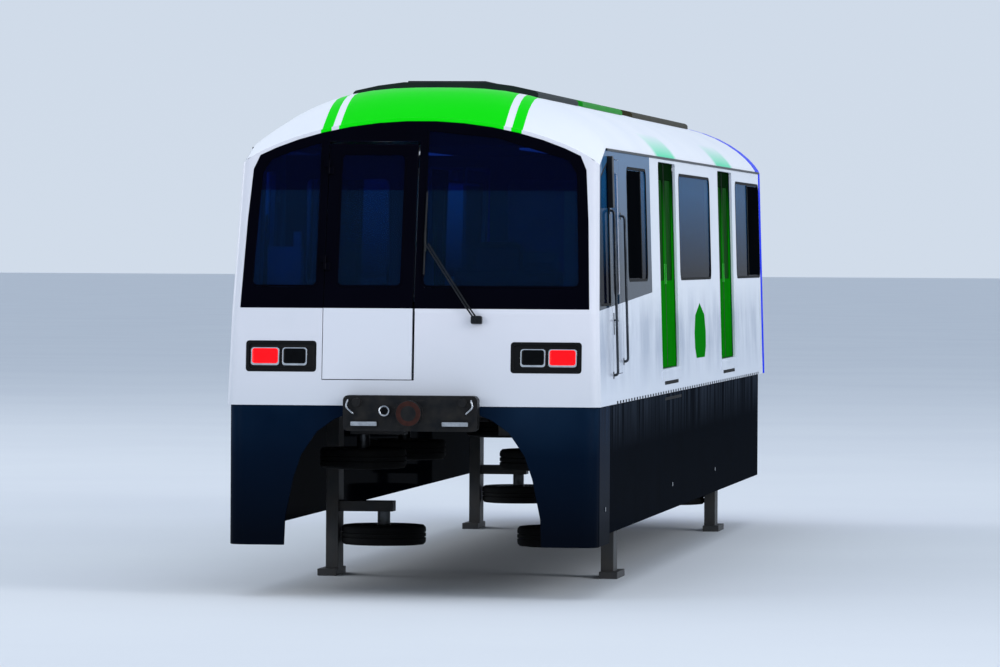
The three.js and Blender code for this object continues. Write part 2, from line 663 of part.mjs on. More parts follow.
const rearPane = rectangle(-REAR_PANE.half, REAR_PANE.half, REAR_PANE.foot, REAR_PANE.top, PANE_CORNER);
part("gangway_door", alongY(rearLeaf, rearLeafBack - GANGWAY_LEAF_THICKNESS, rearLeafBack, [rearPane]), GREY);
const FAIRING_INSET = 25;
const FAIRING_THICKNESS = 50;
part(
  "end_fairing",
  alongY(sectionOutline(FAIRING_INSET), BODY_HALF + SEAT_GAP, CAR_HALF, [
    sectionOutline(FAIRING_INSET + FAIRING_THICKNESS),
  ]),
  BLUE,
);

// Skirts: a front one bent round the corners with an arch for the beam, and one plate a side
const SKIRT_HALF_WIDTH = 1500;
const SKIRT_THICKNESS = 40;
const SKIRT_CORNER = 130;
const SKIRT_SPLIT = FACE + 950;
const SKIRT_SPLIT_GAP = 6;
const SKIRT_SETBACK = 10;
const SKIRT_END = FACE + 15300;
const skirtTop = BODY_BOTTOM - SEAT_GAP;
// Half widths of the beam arch by height
const BEAM_ARCH = [
  { half: 1047, z: CORNER_SKIRT_BOTTOM - 10 },
  { half: 1038, z: 650 },
  { half: 973, z: 965 },
  { half: 909, z: 1153 },
  { half: 780, z: 1340 },
  { half: 640, z: 1440 },
  { half: 500, z: 1495 },
];
const beamArch = [
  ...BEAM_ARCH.map(({ half, z }) => new THREE.Vector2(half, z)),
  ...BEAM_ARCH.toReversed().map(({ half, z }) => new THREE.Vector2(-half, z)),
];
let frontSkirt = nose(
  [CORNER_SKIRT_BOTTOM, skirtTop],
  () => SKIRT_HALF_WIDTH,
  () => FACE + SKIRT_SETBACK,
  0,
  SKIRT_THICKNESS,
  SKIRT_CORNER,
);
const skirtX = (side) => span(0, side, SKIRT_HALF_WIDTH - SKIRT_THICKNESS, SKIRT_HALF_WIDTH);
const bendEnd = FACE + SKIRT_SETBACK + SKIRT_CORNER;
const frontSkirtEnd = SKIRT_SPLIT - SKIRT_SPLIT_GAP / 2;
for (const { side } of SIDES) {
  const cheek = block(...skirtX(side), bendEnd - 1, frontSkirtEnd, CORNER_SKIRT_BOTTOM, skirtTop);
  frontSkirt = frontSkirt.add(cheek);
}
part("skirt_front", frontSkirt.subtract(through(beamArch)), NAVY);
for (const { side, word } of SIDES) {
  const start = SKIRT_SPLIT + SKIRT_SPLIT_GAP / 2;
  part(`skirt_${word}`, block(...skirtX(side), start, SKIRT_END, SKIRT_BOTTOM, skirtTop), NAVY);
}

// Floor: a slab with a housing over each bogie's tyres and a centre plate under the slab between them
const FLOOR_HALF = 1440;
const FLOOR_FRONT = FACE + 90;
const WELL_HALF = 500;
const WELL_REACH = 1300;
const WELL_MIDDLE = 225;
const WELL_TOP = 2370;
const HOUSING = 50;
const CENTRE_PLATE = 150;
const CENTRE_PLATE_FOOT = 1640;
const BOGIES = [
  { name: "front", centre: FRONT_BOGIE },
  { name: "rear", centre: REAR_BOGIE },
];
let floor = block(-FLOOR_HALF, FLOOR_HALF, FLOOR_FRONT, REAR_WALL_FRONT - SEAT_GAP, FLOOR_BOTTOM, FLOOR_TOP);
for (const { centre } of BOGIES) {
  const half = WELL_HALF + HOUSING;
  const reach = WELL_REACH + HOUSING;
  floor = floor.add(block(-half, half, centre - reach, centre + reach, FLOOR_BOTTOM, WELL_TOP + HOUSING));
  const well = [centre - WELL_REACH, centre + WELL_REACH];
  floor = floor.subtract(block(-WELL_HALF, WELL_HALF, ...well, FLOOR_TOP, WELL_TOP));
  for (const way of [-1, 1]) {
    const ends = span(centre, way, WELL_MIDDLE, WELL_REACH);
    floor = floor.subtract(block(-WELL_HALF, WELL_HALF, ...ends, FLOOR_BOTTOM - WALL, FLOOR_TOP + WALL));
  }
  floor = floor.add(upright(CENTRE_PLATE, 0, centre, CENTRE_PLATE_FOOT, FLOOR_TOP));
}
// Benches: one on each side of a wheel housing, with its back on the housing, and one under each middle
// window; way is the side that a bench faces, start and end lie behind the cab face
const HOUSING_BACK = WELL_HALF + HOUSING;
const BENCHES = [
  { back: HOUSING_BACK, way: 1, start: 2500, end: 5000, backTop: 2800 },
  { back: 1380, way: -1, start: 7600, end: 10050, backTop: 2540 },
  { back: HOUSING_BACK, way: 1, start: 12600, end: 14600, backTop: 2800 },
];
const BENCH = { depth: 450, foot: 370, lip: 2060, top: 2190, thickness: 40, radius: 20 };
for (const { back, way, start, end, backTop } of BENCHES) {
  const rear = back - way * BENCH.thickness;
  const front = back + way * BENCH.depth;
  const corners = [
    [rear, FLOOR_TOP - LAP],
    [back + way * BENCH.foot, FLOOR_TOP - LAP],
    [front, BENCH.lip],
    [front, BENCH.top, BENCH.radius],
    [back, BENCH.top],
    [back, backTop, BENCH.radius / 2],
    [rear, backTop, BENCH.radius / 2],
  ];
  for (const { side } of SIDES) {
    const outline = rounded(corners.map(([x, z, radius]) => [side * x, z, radius]));
    const ordered = side * way > 0 ? outline : outline.toReversed();
    floor = floor.add(alongY(ordered, FACE + start, FACE + end));
  }
}
part("underframe_floor", floor, GREY);

// Cab fittings: desk, seat and the partition behind the driver
const FURNITURE_FOOT = FLOOR_TOP + SEAT_GAP;
const deskProfile = rounded([
  [FACE + 170, FURNITURE_FOOT],
  [FACE + 700, FURNITURE_FOOT],
  [FACE + 700, 2150, 40],
  [FACE + 520, 2330, 60],
  [FACE + 170, 2280, 40],
]);
const DESK_EDGES = [150, 1330];
part("driver_desk", alongX(deskProfile, ...DESK_EDGES), GREY);
const seatProfile = rounded([
  [FACE + 1300, 2150, 40],
  [FACE + 1680, 2150],
  [FACE + 1700, 2900, 40],
  [FACE + 1620, 2900, 30],
  [FACE + 1560, 2280],
  [FACE + 1200, 2270, 40],
  [FACE + 1200, 2150, 40],
]);
const SEAT_EDGES = [260, 700];
const SEAT_POST = { radius: 90, x: 480, y: FACE + 1420, top: 2200, sides: 16 };
const seatPost = upright(
  SEAT_POST.radius,
  SEAT_POST.x,
  SEAT_POST.y,
  FURNITURE_FOOT,
  SEAT_POST.top,
  SEAT_POST.sides,
);
part("driver_seat", alongX(seatProfile, ...SEAT_EDGES).add(seatPost), CLOTH);

const PARTITION = { front: FACE + 2130, rear: FACE + 2170, top: 3600, wallGap: 72, footGap: 132 };
const PARTITION_DOOR = { half: 350, top: 3500 };
const PARTITION_LIGHT = { inner: 500, outer: 1200, foot: 2500, top: 3400 };
const partitionRight = [
  [halfWidth(FURNITURE_FOOT) - PARTITION.footGap, FURNITURE_FOOT],
  [halfWidth(PARTITION.top) - PARTITION.wallGap, PARTITION.top],
];
const partitionOutline = [...partitionRight, ...partitionRight.toReversed().map(([x, z]) => [-x, z])].map(
  ([x, z]) => new THREE.Vector2(x, z),
);
const partitionLights = SIDES.map(({ side }) =>
  rectangle(
    ...span(0, side, PARTITION_LIGHT.inner, PARTITION_LIGHT.outer),
    PARTITION_LIGHT.foot,
    PARTITION_LIGHT.top,
    PANE_CORNER,
  ),
);
const partitionPlate = alongY(partitionOutline, PARTITION.front, PARTITION.rear, partitionLights);
const partitionDoorway = block(
  -PARTITION_DOOR.half,
  PARTITION_DOOR.half,
  PARTITION.front - WALL,
  PARTITION.rear + WALL,
  FLOOR_BOTTOM,
  PARTITION_DOOR.top,
);
part("cab_partition", partitionPlate.subtract(partitionDoorway), GREY);

// Roof equipment: three low housings that follow the roof's curve, joined by a cable duct
const underRoof = alongY(
  [
    new THREE.Vector2(-halfWidth(GUTTER), FLOOR_TOP),
    new THREE.Vector2(halfWidth(GUTTER), FLOOR_TOP),
    ...ACROSS.toReversed().map(
      (s) => new THREE.Vector2(s * halfWidth(GUTTER), crestAt(s * halfWidth(GUTTER), 0) + 2 * SEAT_GAP),
    ),
  ],
  FACE,
  BODY_HALF,
);
const UNIT_HALF = 780;
const UNIT_HEIGHT = 55;
const UNIT_FLAT_HALF = 350;
const UNIT_EDGE = 20;
const DUCT_HALF = 180;
const DUCT_TOP = 4190;
const UNIT_FOOT = 4000;
// Housings: start and end behind the face
const ROOF_UNITS = [
  { start: 1900, end: 4880 },
  { start: 5230, end: 8550 },
  { start: 9450, end: 15000 },
];
const unitSlope = (UNIT_HALF + UNIT_FLAT_HALF) / 2;
const unitRight = [
  [UNIT_HALF, UNIT_FOOT],
  [UNIT_HALF, crestAt(UNIT_HALF, 0) + UNIT_HEIGHT - UNIT_EDGE],
  [UNIT_HALF - UNIT_EDGE, crestAt(UNIT_HALF, 0) + UNIT_HEIGHT],
  [unitSlope, crestAt(unitSlope, 0) + UNIT_HEIGHT],
  [UNIT_FLAT_HALF, EQUIPMENT_TOP],
];
const unitOutline = [...unitRight, ...unitRight.toReversed().map(([x, z]) => [-x, z])].map(
  ([x, z]) => new THREE.Vector2(x, z),
);
const units = ROOF_UNITS.map(({ start, end }) => alongY(unitOutline, FACE + start, FACE + end));
const duct = block(
  -DUCT_HALF,
  DUCT_HALF,
  FACE + ROOF_UNITS[0].end - UNIT_EDGE,
  FACE + ROOF_UNITS.at(-1).start + UNIT_EDGE,
  UNIT_FOOT,
  DUCT_TOP,
);
part("roof_equipment", joined([...units, duct]).subtract(underRoof), DARK_STEEL);

// Couplers: a head, a drawbar and the hanger that joins it to the floor
const COUPLER_Z = 1495;
const DRAWBAR = { half: 130, foot: 1370, top: 1490, reach: 700 };
const DRAWBAR_X = [-DRAWBAR.half, DRAWBAR.half];
const HANGER_LENGTH = 300;
const HANGER_TOP = FLOOR_BOTTOM - SEAT_GAP;
const COUPLER_BOX = { half: 545, foot: 1350, top: 1637, depth: 150, corner: 40 };
const COUPLER_RING = { radius: 105, sides: 24 };
// Round fittings on the coupler box: two jumper sockets and a lamp
const COUPLER_FITTINGS = [
  { x: -430, z: 1580, radius: 36, reach: 55 },
  { x: 430, z: 1580, radius: 36, reach: 55 },
  { x: -200, z: 1515, radius: 42, reach: 70 },
];
// Bars under the sockets
const COUPLER_BAR = { inner: 260, outer: 480, foot: 1390, top: 1430, reach: 40 };
const PLATE_DEPTH = 50;
const couplerFace = rectangle(
  -COUPLER_BOX.half,
  COUPLER_BOX.half,
  COUPLER_BOX.foot,
  COUPLER_BOX.top,
  COUPLER_BOX.corner,
);
const boxFront = FACE - COUPLER_BOX.depth;
const ringEnds = [-CAR_HALF, boxFront + LAP];
const frontHanger = [FACE + DRAWBAR.reach - HANGER_LENGTH, FACE + DRAWBAR.reach];
const frontCoupler = joined([
  alongY(couplerFace, boxFront, FACE - SEAT_GAP),
  lengthwise(COUPLER_RING.radius, 0, ringEnds, COUPLER_Z, COUPLER_RING.sides),
  ...COUPLER_FITTINGS.map(({ x, z, radius, reach }) =>
    lengthwise(radius, x, [boxFront - reach, boxFront + LAP], z),
  ),
  ...SIDES.map(({ side }) => {
    const barX = span(0, side, COUPLER_BAR.inner, COUPLER_BAR.outer);
    return block(...barX, boxFront - COUPLER_BAR.reach, boxFront + LAP, COUPLER_BAR.foot, COUPLER_BAR.top);
  }),
  block(...DRAWBAR_X, FACE - PLATE_DEPTH, FACE + DRAWBAR.reach, DRAWBAR.foot, DRAWBAR.top),
  block(...DRAWBAR_X, ...frontHanger, DRAWBAR.foot, HANGER_TOP),
]);
part("coupler_front", frontCoupler, DARK_STEEL);

const REAR_PLATE = { half: 200, top: 1540 };
const rearPlateFront = CAR_HALF - PLATE_DEPTH;
const rearHanger = [BODY_HALF - DRAWBAR.reach, BODY_HALF - DRAWBAR.reach + HANGER_LENGTH];
const rearCoupler = joined([
  block(-REAR_PLATE.half, REAR_PLATE.half, rearPlateFront, CAR_HALF, BEAM_TOP, REAR_PLATE.top),
  block(...DRAWBAR_X, BODY_HALF - DRAWBAR.reach, rearPlateFront + 1, DRAWBAR.foot, DRAWBAR.top),
  block(...DRAWBAR_X, ...rearHanger, DRAWBAR.foot, HANGER_TOP),
]);
part("coupler_rear", rearCoupler, DARK_STEEL);

// Bogies: a frame over the beam with legs beside it, two axles with twin tyres, guide wheels high on the
// beam's sides and stabilising wheels low on them
const TYRE_RADIUS = 490;
const AXLE_Z = BEAM_TOP + TYRE_RADIUS;
const AXLE_REACH = 750;
const FRAME_INNER = 380;
const FRAME_OUTER = 430;
const FRAME_FOOT = 1400;
const FRAME_TOP = 1600;
const FRAME_END = 1370;
const GUIDE_RADIUS = 365;
const GUIDE_X = 765;
const GUIDE_REACH = 1250;
const GUIDE_Z = 1050;
const STABILISER_Z = 350;
const GUIDE_HALF_THICKNESS = 90;
const STUB_LENGTH = 110;
const STUB_RADIUS = 55;
const LEG = { inner: 1140, outer: 1250, half: 150 };
const FOOT = { outer: 1300, half: 300, top: 60 };
const BOLSTER_HALF = 200;
const CROSS_BEAM = 80;
const SHELF = { half: 100, thickness: 90 };
const ARM = { inner: 400, outer: 860, length: 240, top: 1500 };
const EAR = { half: 120, over: 90, radius: 40 };
const SPRING = { x: 900, radius: 230, sides: 20 };
// Beside each axle: a traction motor on one side of the frame and a gear case on the other
const DRIVE_Z = 1545;
const DRIVES = [
  { turn: 1, radius: 125, reach: 1000 },
  { turn: -1, radius: 115, reach: 540 },
];

function bogieFrame(y) {
  const ear = (way) => [
    [y + way * AXLE_REACH - EAR.half, FRAME_TOP],
    [y + way * AXLE_REACH - EAR.half, AXLE_Z + EAR.over, EAR.radius],
    [y + way * AXLE_REACH + EAR.half, AXLE_Z + EAR.over, EAR.radius],
    [y + way * AXLE_REACH + EAR.half, FRAME_TOP],
  ];
  const sideProfile = rounded([
    [y - FRAME_END, FRAME_TOP],
    ...ear(-1),
    ...ear(1),
    [y + FRAME_END, FRAME_TOP],
    [y + FRAME_END, FRAME_FOOT],
    [y - FRAME_END, FRAME_FOOT],
  ].toReversed());
  const pieces = [
    block(-LEG.outer, LEG.outer, y - BOLSTER_HALF, y + BOLSTER_HALF, FRAME_FOOT, FRAME_TOP),
    upright(CENTRE_PLATE, 0, y, FRAME_TOP - LAP, CENTRE_PLATE_FOOT - SEAT_GAP),
  ];
  for (const way of [-1, 1]) {
    const ends = span(y, way, FRAME_END - CROSS_BEAM, FRAME_END);
    pieces.push(block(-FRAME_OUTER, FRAME_OUTER, ...ends, FRAME_FOOT, FRAME_TOP));
  }
  const springTop = FLOOR_BOTTOM - SEAT_GAP;
  const shelfFoot = STABILISER_Z + GUIDE_HALF_THICKNESS + STUB_LENGTH;
  const armFoot = GUIDE_Z + GUIDE_HALF_THICKNESS + STUB_LENGTH;
  for (const { side } of SIDES) {
    pieces.push(
      alongX(sideProfile, ...span(0, side, FRAME_INNER, FRAME_OUTER)),
      upright(SPRING.radius, side * SPRING.x, y, FRAME_TOP - LAP, springTop, SPRING.sides),
      block(...span(0, side, LEG.inner, LEG.outer), y - LEG.half, y + LEG.half, 0, FRAME_FOOT + LAP),
      block(...span(0, side, LEG.inner, FOOT.outer), y - FOOT.half, y + FOOT.half, 0, FOOT.top),
    );
    const shelfX = span(0, side, GUIDE_X - SHELF.thickness, LEG.inner + LAP);
    pieces.push(block(...shelfX, y - SHELF.half, y + SHELF.half, shelfFoot, shelfFoot + SHELF.thickness));
    for (const { turn, radius, reach } of DRIVES) {
      const driveX = span(0, side, FRAME_OUTER - LAP, reach);
      pieces.push(crosswise(radius, driveX, y + turn * side * AXLE_REACH, DRIVE_Z));
    }
    const armX = span(0, side, ARM.inner, ARM.outer);
    for (const way of [-1, 1]) {
      const armY = span(y, way, FRAME_END - ARM.length, FRAME_END);
      pieces.push(block(...armX, ...armY, armFoot, ARM.top));
    }
  }
  return joined(pieces);
}

// Wheelset profile from the axle's left end to its right end: radius and place along the axle
const AXLE_RADIUS = 60;
const WHEEL_SIDES = 24;
const TYRE_SIDE = [
  { radius: AXLE_RADIUS, x: 345 },
  { radius: 420, x: 345 },
  { radius: TYRE_RADIUS, x: 315 },
  { radius: TYRE_RADIUS, x: 85 },
  { radius: 420, x: 55 },
  { radius: 200, x: 55 },
];
const axleEnd = FRAME_INNER - SEAT_GAP;
const wheelsetProfile = [
  [0, -axleEnd],
  [AXLE_RADIUS, -axleEnd],
  ...TYRE_SIDE.map(({ radius, x }) => [radius, -x]),
  ...TYRE_SIDE.toReversed().map(({ radius, x }) => [radius, x]),
  [AXLE_RADIUS, axleEnd],
  [0, axleEnd],
].map(([radius, x]) => new THREE.Vector2(radius, x));
function wheelset(y) {
  const turned = new THREE.LatheGeometry(wheelsetProfile, WHEEL_SIDES).rotateZ(-Math.PI / 2);
  return solid(turned.translate(0, y, AXLE_Z));
}

// Side wheel profile from its foot to the top of its stub: radius and height
const GUIDE_SIDES = 20;
const GUIDE_TREAD = { cheek: 310, chamfer: 30 };
const sideWheelProfile = [
  [0, -GUIDE_HALF_THICKNESS],
  [GUIDE_TREAD.cheek, -GUIDE_HALF_THICKNESS],
  [GUIDE_RADIUS, -GUIDE_HALF_THICKNESS + GUIDE_TREAD.chamfer],
  [GUIDE_RADIUS, GUIDE_HALF_THICKNESS - GUIDE_TREAD.chamfer],
  [GUIDE_TREAD.cheek, GUIDE_HALF_THICKNESS],
  [STUB_RADIUS, GUIDE_HALF_THICKNESS],
  [STUB_RADIUS, GUIDE_HALF_THICKNESS + STUB_LENGTH - SEAT_GAP],
  [0, GUIDE_HALF_THICKNESS + STUB_LENGTH - SEAT_GAP],
].map(([radius, z]) => new THREE.Vector2(radius, z));
function sideWheel(x, y, z) {
  const turned = new THREE.LatheGeometry(sideWheelProfile, GUIDE_SIDES).rotateX(Math.PI / 2);
  return solid(turned.translate(x, y, z));
}

for (const { name, centre } of BOGIES) {
  part(`bogie_frame_${name}`, bogieFrame(centre), DARK_STEEL);
  for (const { way, end } of [{ way: -1, end: "fore" }, { way: 1, end: "aft" }]) {
    part(`wheelset_${name}_${end}`, wheelset(centre + way * AXLE_REACH), TYRE);
    for (const { side, word } of SIDES) {
      const wheel = sideWheel(side * GUIDE_X, centre + way * GUIDE_REACH, GUIDE_Z);
      part(`guide_wheel_${name}_${end}_${word}`, wheel, TYRE);
    }
  }
  for (const { side, word } of SIDES) {
    part(`stabiliser_wheel_${name}_${word}`, sideWheel(side * GUIDE_X, centre, STABILISER_Z), TYRE);
  }
}

export default root;
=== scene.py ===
# Monorail car with a driver's cab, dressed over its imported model.
# Metres, +Z up; the cab face looks towards -Y and the gangway end towards +Y.
import json
import math

import bmesh
import bpy
from mathutils import Matrix, Vector

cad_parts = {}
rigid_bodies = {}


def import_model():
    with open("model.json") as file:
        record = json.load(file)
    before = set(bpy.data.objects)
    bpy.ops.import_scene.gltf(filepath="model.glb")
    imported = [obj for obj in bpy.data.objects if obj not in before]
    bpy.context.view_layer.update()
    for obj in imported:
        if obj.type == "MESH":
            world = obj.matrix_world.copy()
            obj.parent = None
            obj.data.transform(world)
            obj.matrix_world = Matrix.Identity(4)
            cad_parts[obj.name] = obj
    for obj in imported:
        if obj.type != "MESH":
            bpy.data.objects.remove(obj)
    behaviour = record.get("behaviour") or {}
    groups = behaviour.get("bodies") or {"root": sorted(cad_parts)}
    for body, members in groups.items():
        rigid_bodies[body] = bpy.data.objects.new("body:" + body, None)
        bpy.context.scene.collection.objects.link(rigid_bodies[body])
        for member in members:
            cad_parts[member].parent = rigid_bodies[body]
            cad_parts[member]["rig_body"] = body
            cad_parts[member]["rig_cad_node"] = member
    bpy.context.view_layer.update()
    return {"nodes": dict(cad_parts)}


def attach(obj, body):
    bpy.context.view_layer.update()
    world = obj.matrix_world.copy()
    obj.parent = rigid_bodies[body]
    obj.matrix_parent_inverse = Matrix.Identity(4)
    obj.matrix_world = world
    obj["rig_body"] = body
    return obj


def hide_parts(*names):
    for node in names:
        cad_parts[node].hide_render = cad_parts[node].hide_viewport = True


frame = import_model()

# Camera: it stands where the photograph was taken, about 51 m in front of the cab and to its right,
# and is turned to the car with a long lens, so that the car alone fills the picture.
PHOTO_FOCAL = 2159
PHOTO_CENTRE = (500, 333.5)
CAR_IN_PHOTO = (741, 405)
eye = Vector((7.08, -58.90, 2.77))
yaw, pitch, roll = (math.radians(angle) for angle in (-13.51, 1.14, 0.44))
ahead = Vector((math.sin(yaw) * math.cos(pitch), math.cos(yaw) * math.cos(pitch), math.sin(pitch)))
level = Vector((math.cos(yaw), -math.sin(yaw), 0))
rise = level.cross(ahead)
rightwards = level * math.cos(roll) + rise * math.sin(roll)
upwards = rise * math.cos(roll) - level * math.sin(roll)
aim = ahead + rightwards * ((CAR_IN_PHOTO[0] - PHOTO_CENTRE[0]) / PHOTO_FOCAL)
aim = (aim - upwards * ((CAR_IN_PHOTO[1] - PHOTO_CENTRE[1]) / PHOTO_FOCAL)).normalized()
camera = bpy.data.objects.new("camera", bpy.data.cameras.new("camera"))
camera.data.sensor_width = 36
camera.data.lens = 230
camera.data.clip_end = 3000
picture_x = aim.cross(upwards).normalized()
picture_y = picture_x.cross(aim)
camera.matrix_world = Matrix.Translation(eye) @ Matrix((picture_x, picture_y, -aim)).transposed().to_4x4()
bpy.context.scene.collection.objects.link(camera)
bpy.context.scene.camera = camera
bpy.context.scene.view_settings.view_transform = "Standard"

# Studio: a plain pale floor of painted concrete, a sky that is palest at the horizon, and four large soft
# lamps that hang far from the car, so that its light is even.


def colour(hex_code):
    """An sRGB hex colour as linear red, green, blue and alpha."""
    parts = [int(hex_code[i : i + 2], 16) / 255 for i in (0, 2, 4)]
    return [c / 12.92 if c <= 0.04045 else ((c + 0.055) / 1.055) ** 2.4 for c in parts] + [1.0]


def add(tree, kind, inputs=None, **settings):
    """Adds a node to a tree, makes its settings, and sets or links its inputs."""
    made = tree.nodes.new(kind)
    for key, value in settings.items():
        setattr(made, key, value)
    for key, value in (inputs or {}).items():
        if isinstance(value, bpy.types.NodeSocket):
            tree.links.new(value, made.inputs[key])
        else:
            made.inputs[key].default_value = value
    return made


def mixed(tree, amount, first, second):
    """The first colour where the amount is none and the second where it is one."""
    return add(tree, "ShaderNodeMix", {0: amount, 6: first, 7: second}, data_type="RGBA").outputs[2]


def remap(tree, value, *ends):
    """A value spread from one pair of ends to another, which is none and one unless it is given."""
    return add(tree, "ShaderNodeMapRange", {0: value, **dict(enumerate(ends, 1))}).outputs[0]


def on_object(tree):
    """The place on the object."""
    return add(tree, "ShaderNodeTexCoord").outputs["Object"]


def noise(tree, where, scale, detail, stretch=None):
    """Soft noise at a scale, its pattern stretched along the axes where that is asked for."""
    if stretch:
        where = add(tree, "ShaderNodeMapping", {"Vector": where, "Scale": stretch}).outputs[0]
    inputs = {"Vector": where, "Scale": scale, "Detail": detail}
    return add(tree, "ShaderNodeTexNoise", inputs).outputs["Fac"]


def finish(
    name, base, shade, roughness, metallic=0.0, mottle=400, peel=(3, 0.02), specular=0.5, coat=0.0, **more
):
    """A material on object coordinates. Base and shade are mixed in soft patches, mottle mm across, and
    peel is the spacing and height of the fine unevenness in mm. The gloss varies by a tenth. More holds
    other sockets of the shader, their names written with low lines."""
    material = bpy.data.materials.new(name)
    material.use_nodes = True
    tree = material.node_tree
    shader = tree.nodes["Principled BSDF"]
    where = on_object(tree)
    patches = noise(tree, where, 1000 / mottle, 5)
    tint = mixed(tree, remap(tree, patches, 0.35, 0.75), colour(base), colour(shade))
    gloss = remap(tree, patches, 0.3, 0.7, roughness * 0.95, roughness * 1.05)
    fine = noise(tree, where, 1000 / peel[0], 2)
    bump = add(tree, "ShaderNodeBump", {"Height": fine, "Strength": 1.0, "Distance": peel[1] / 1000})
    for value, socket in ((tint, "Base Color"), (gloss, "Roughness"), (bump.outputs[0], "Normal")):
        tree.links.new(value, shader.inputs[socket])
    levels = {"Metallic": metallic, "Specular IOR Level": specular, "Coat Weight": coat}
    for socket, value in {**levels, "Coat Roughness": 0.04, **more}.items():
        shader.inputs[socket.replace("_", " ")].default_value = value
    return material


bpy.ops.mesh.primitive_plane_add(size=1600)
floor = bpy.context.object
floor.name = "studio_floor"
# Matt paint on smooth concrete, which shows as an even pale grey.
floor_paint = {"mottle": 5000, "peel": (8, 0.01), "specular": 0.05}
floor.data.materials.append(finish("studio_floor_paint", "E4E7EA", "E0E3E7", 0.8, **floor_paint))
sky = bpy.data.worlds.new("studio_sky")
sky.use_nodes = True
bpy.context.scene.world = sky
sky_tree = sky.node_tree
upwards_view = add(sky_tree, "ShaderNodeTexCoord").outputs["Generated"]
direction = add(sky_tree, "ShaderNodeSeparateXYZ", {0: upwards_view})
height = remap(sky_tree, direction.outputs["Z"], 0.0, 0.6)
sky_tint = mixed(sky_tree, height, colour("D3DEEC"), colour("BDCBDE"))
sky_light = sky_tree.nodes["Background"]
sky_light.inputs["Strength"].default_value = 0.98
sky_tree.links.new(sky_tint, sky_light.inputs["Color"])
# Lamps: where each hangs, what it is turned to, its width and its watts
LAMPS = [
    ("front_lamp", (-50, -54, 17), (0, -7, 2.5), 30, 8000),
    ("side_lamp", (52, -30, 24), (1.5, 0, 2.2), 34, 13500),
    ("far_side_lamp", (-52, 22, 27), (-1.5, 2, 2.2), 34, 9500),
    ("roof_lamp", (5, -5, 54), (0, 0, 4), 40, 4500),
]
for lamp_name, stands, faces, width, watts in LAMPS:
    light = bpy.data.lights.new(lamp_name, "AREA")
    light.shape = "SQUARE"
    light.size = width
    light.energy = watts
    lamp = bpy.data.objects.new(lamp_name, light)
    lamp.location = stands
    lamp.rotation_euler = (Vector(faces) - Vector(stands)).to_track_quat("-Z", "Y").to_euler()
    lamp.visible_camera = lamp.visible_transmission = False
    bpy.context.scene.collection.objects.link(lamp)

# Underframe: a welded box of aluminium extrusions with a housing over each bogie's tyres. Vinyl covers
# the floor, moulded shells the housings and benches, and chassis paint all that faces down.


def only(piece):
    """Makes a piece the only one that the next operators act on."""
    bpy.ops.object.select_all(action="DESELECT")
    piece.select_set(True)
    bpy.context.view_layer.objects.active = piece


def choose(piece, test, kind="FACE"):
    """Opens a piece and selects the faces or edges whose middle, and normal or run, pass the test."""
    only(piece)
    bpy.ops.object.mode_set(mode="EDIT")
    bpy.ops.mesh.select_mode(type=kind)
    bpy.ops.mesh.select_all(action="DESELECT")
    mesh = bmesh.from_edit_mesh(piece.data)
    if kind == "FACE":
        for face in mesh.faces:
            face.select_set(test(face.calc_center_median(), face.normal))
    else:
        for edge in mesh.edges:
            ends = [corner.co for corner in edge.verts]
            edge.select_set(test((ends[0] + ends[1]) / 2, (ends[1] - ends[0]).normalized()))
    bmesh.update_edit_mesh(piece.data)


def sunk(piece, test, *steps):
    """Insets the faces that pass the test, each step by a width and a depth."""
    choose(piece, test)
    for width, depth in steps:
        bpy.ops.mesh.inset(thickness=width, depth=depth)
    shut()
    return piece


def everything():
    bpy.ops.mesh.select_all(action="SELECT")


def opened(piece):
    """Opens a piece with all of it selected."""
    only(piece)
    bpy.ops.object.mode_set(mode="EDIT")
    everything()


def shut():
    bpy.ops.object.mode_set(mode="OBJECT")


def worked(piece, kind, **settings):
    """Adds a modifier to a piece with its settings and applies it."""
    only(piece)
    modifier = piece.modifiers.new(kind.lower(), kind)
    for key, value in settings.items():
        setattr(modifier, key, value)
    bpy.ops.object.modifier_apply(modifier=modifier.name)
    return piece


# Faces that turn by less than this are one flat face.
FLATNESS = math.radians(0.4)


def skin(node, ending="panel"):
    """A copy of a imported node, its corners merged and its flat faces made whole, ready to be worked."""
    source = frame["nodes"][node]
    piece = source.copy()
    piece.data = source.data.copy()
    piece.name = f"{node}_{ending}"
    piece.parent = None
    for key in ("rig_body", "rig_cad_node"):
        del piece[key]
    bpy.context.scene.collection.objects.link(piece)
    opened(piece)
    bpy.ops.mesh.remove_doubles(threshold=0.00003)
    bpy.ops.mesh.dissolve_limited(angle_limit=FLATNESS)
    shut()
    return piece


def ease(piece, width, segments=2, angle=32):
    """Rounds every edge sharper than the angle, and smooths the curves between flat faces."""
    only(piece)
    bpy.ops.object.shade_smooth_by_angle(angle=math.radians(angle))
    limits = {"limit_method": "ANGLE", "angle_limit": math.radians(angle), "use_clamp_overlap": False}
    return worked(piece, "BEVEL", width=width, segments=segments, harden_normals=True, **limits)


def fit(piece, material, body="car_body", replaces=()):
    """Gives a made piece its finish and the body that it rides on."""
    piece.data.materials.clear()
    piece.data.materials.append(material)
    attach(piece, body)
    if replaces:
        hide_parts(*replaces)
    return piece


def dress(node, material, easing=0.003):
    """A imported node's own form with eased edges and its finish."""
    return fit(ease(skin(node), easing), material, frame["nodes"][node]["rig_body"], [node])


def axes(material):
    """A finish's nodes, and the place on the object along X, Y and Z."""
    tree = material.node_tree
    return tree, *add(tree, "ShaderNodeSeparateXYZ", {0: on_object(tree)}).outputs


def inside(tree, value, low, high):
    """A mask that is one between two places."""
    settings = {0: value, 1: (low + high) / 2, 2: (high - low) / 2}
    return add(tree, "ShaderNodeMath", settings, operation="COMPARE").outputs[0]


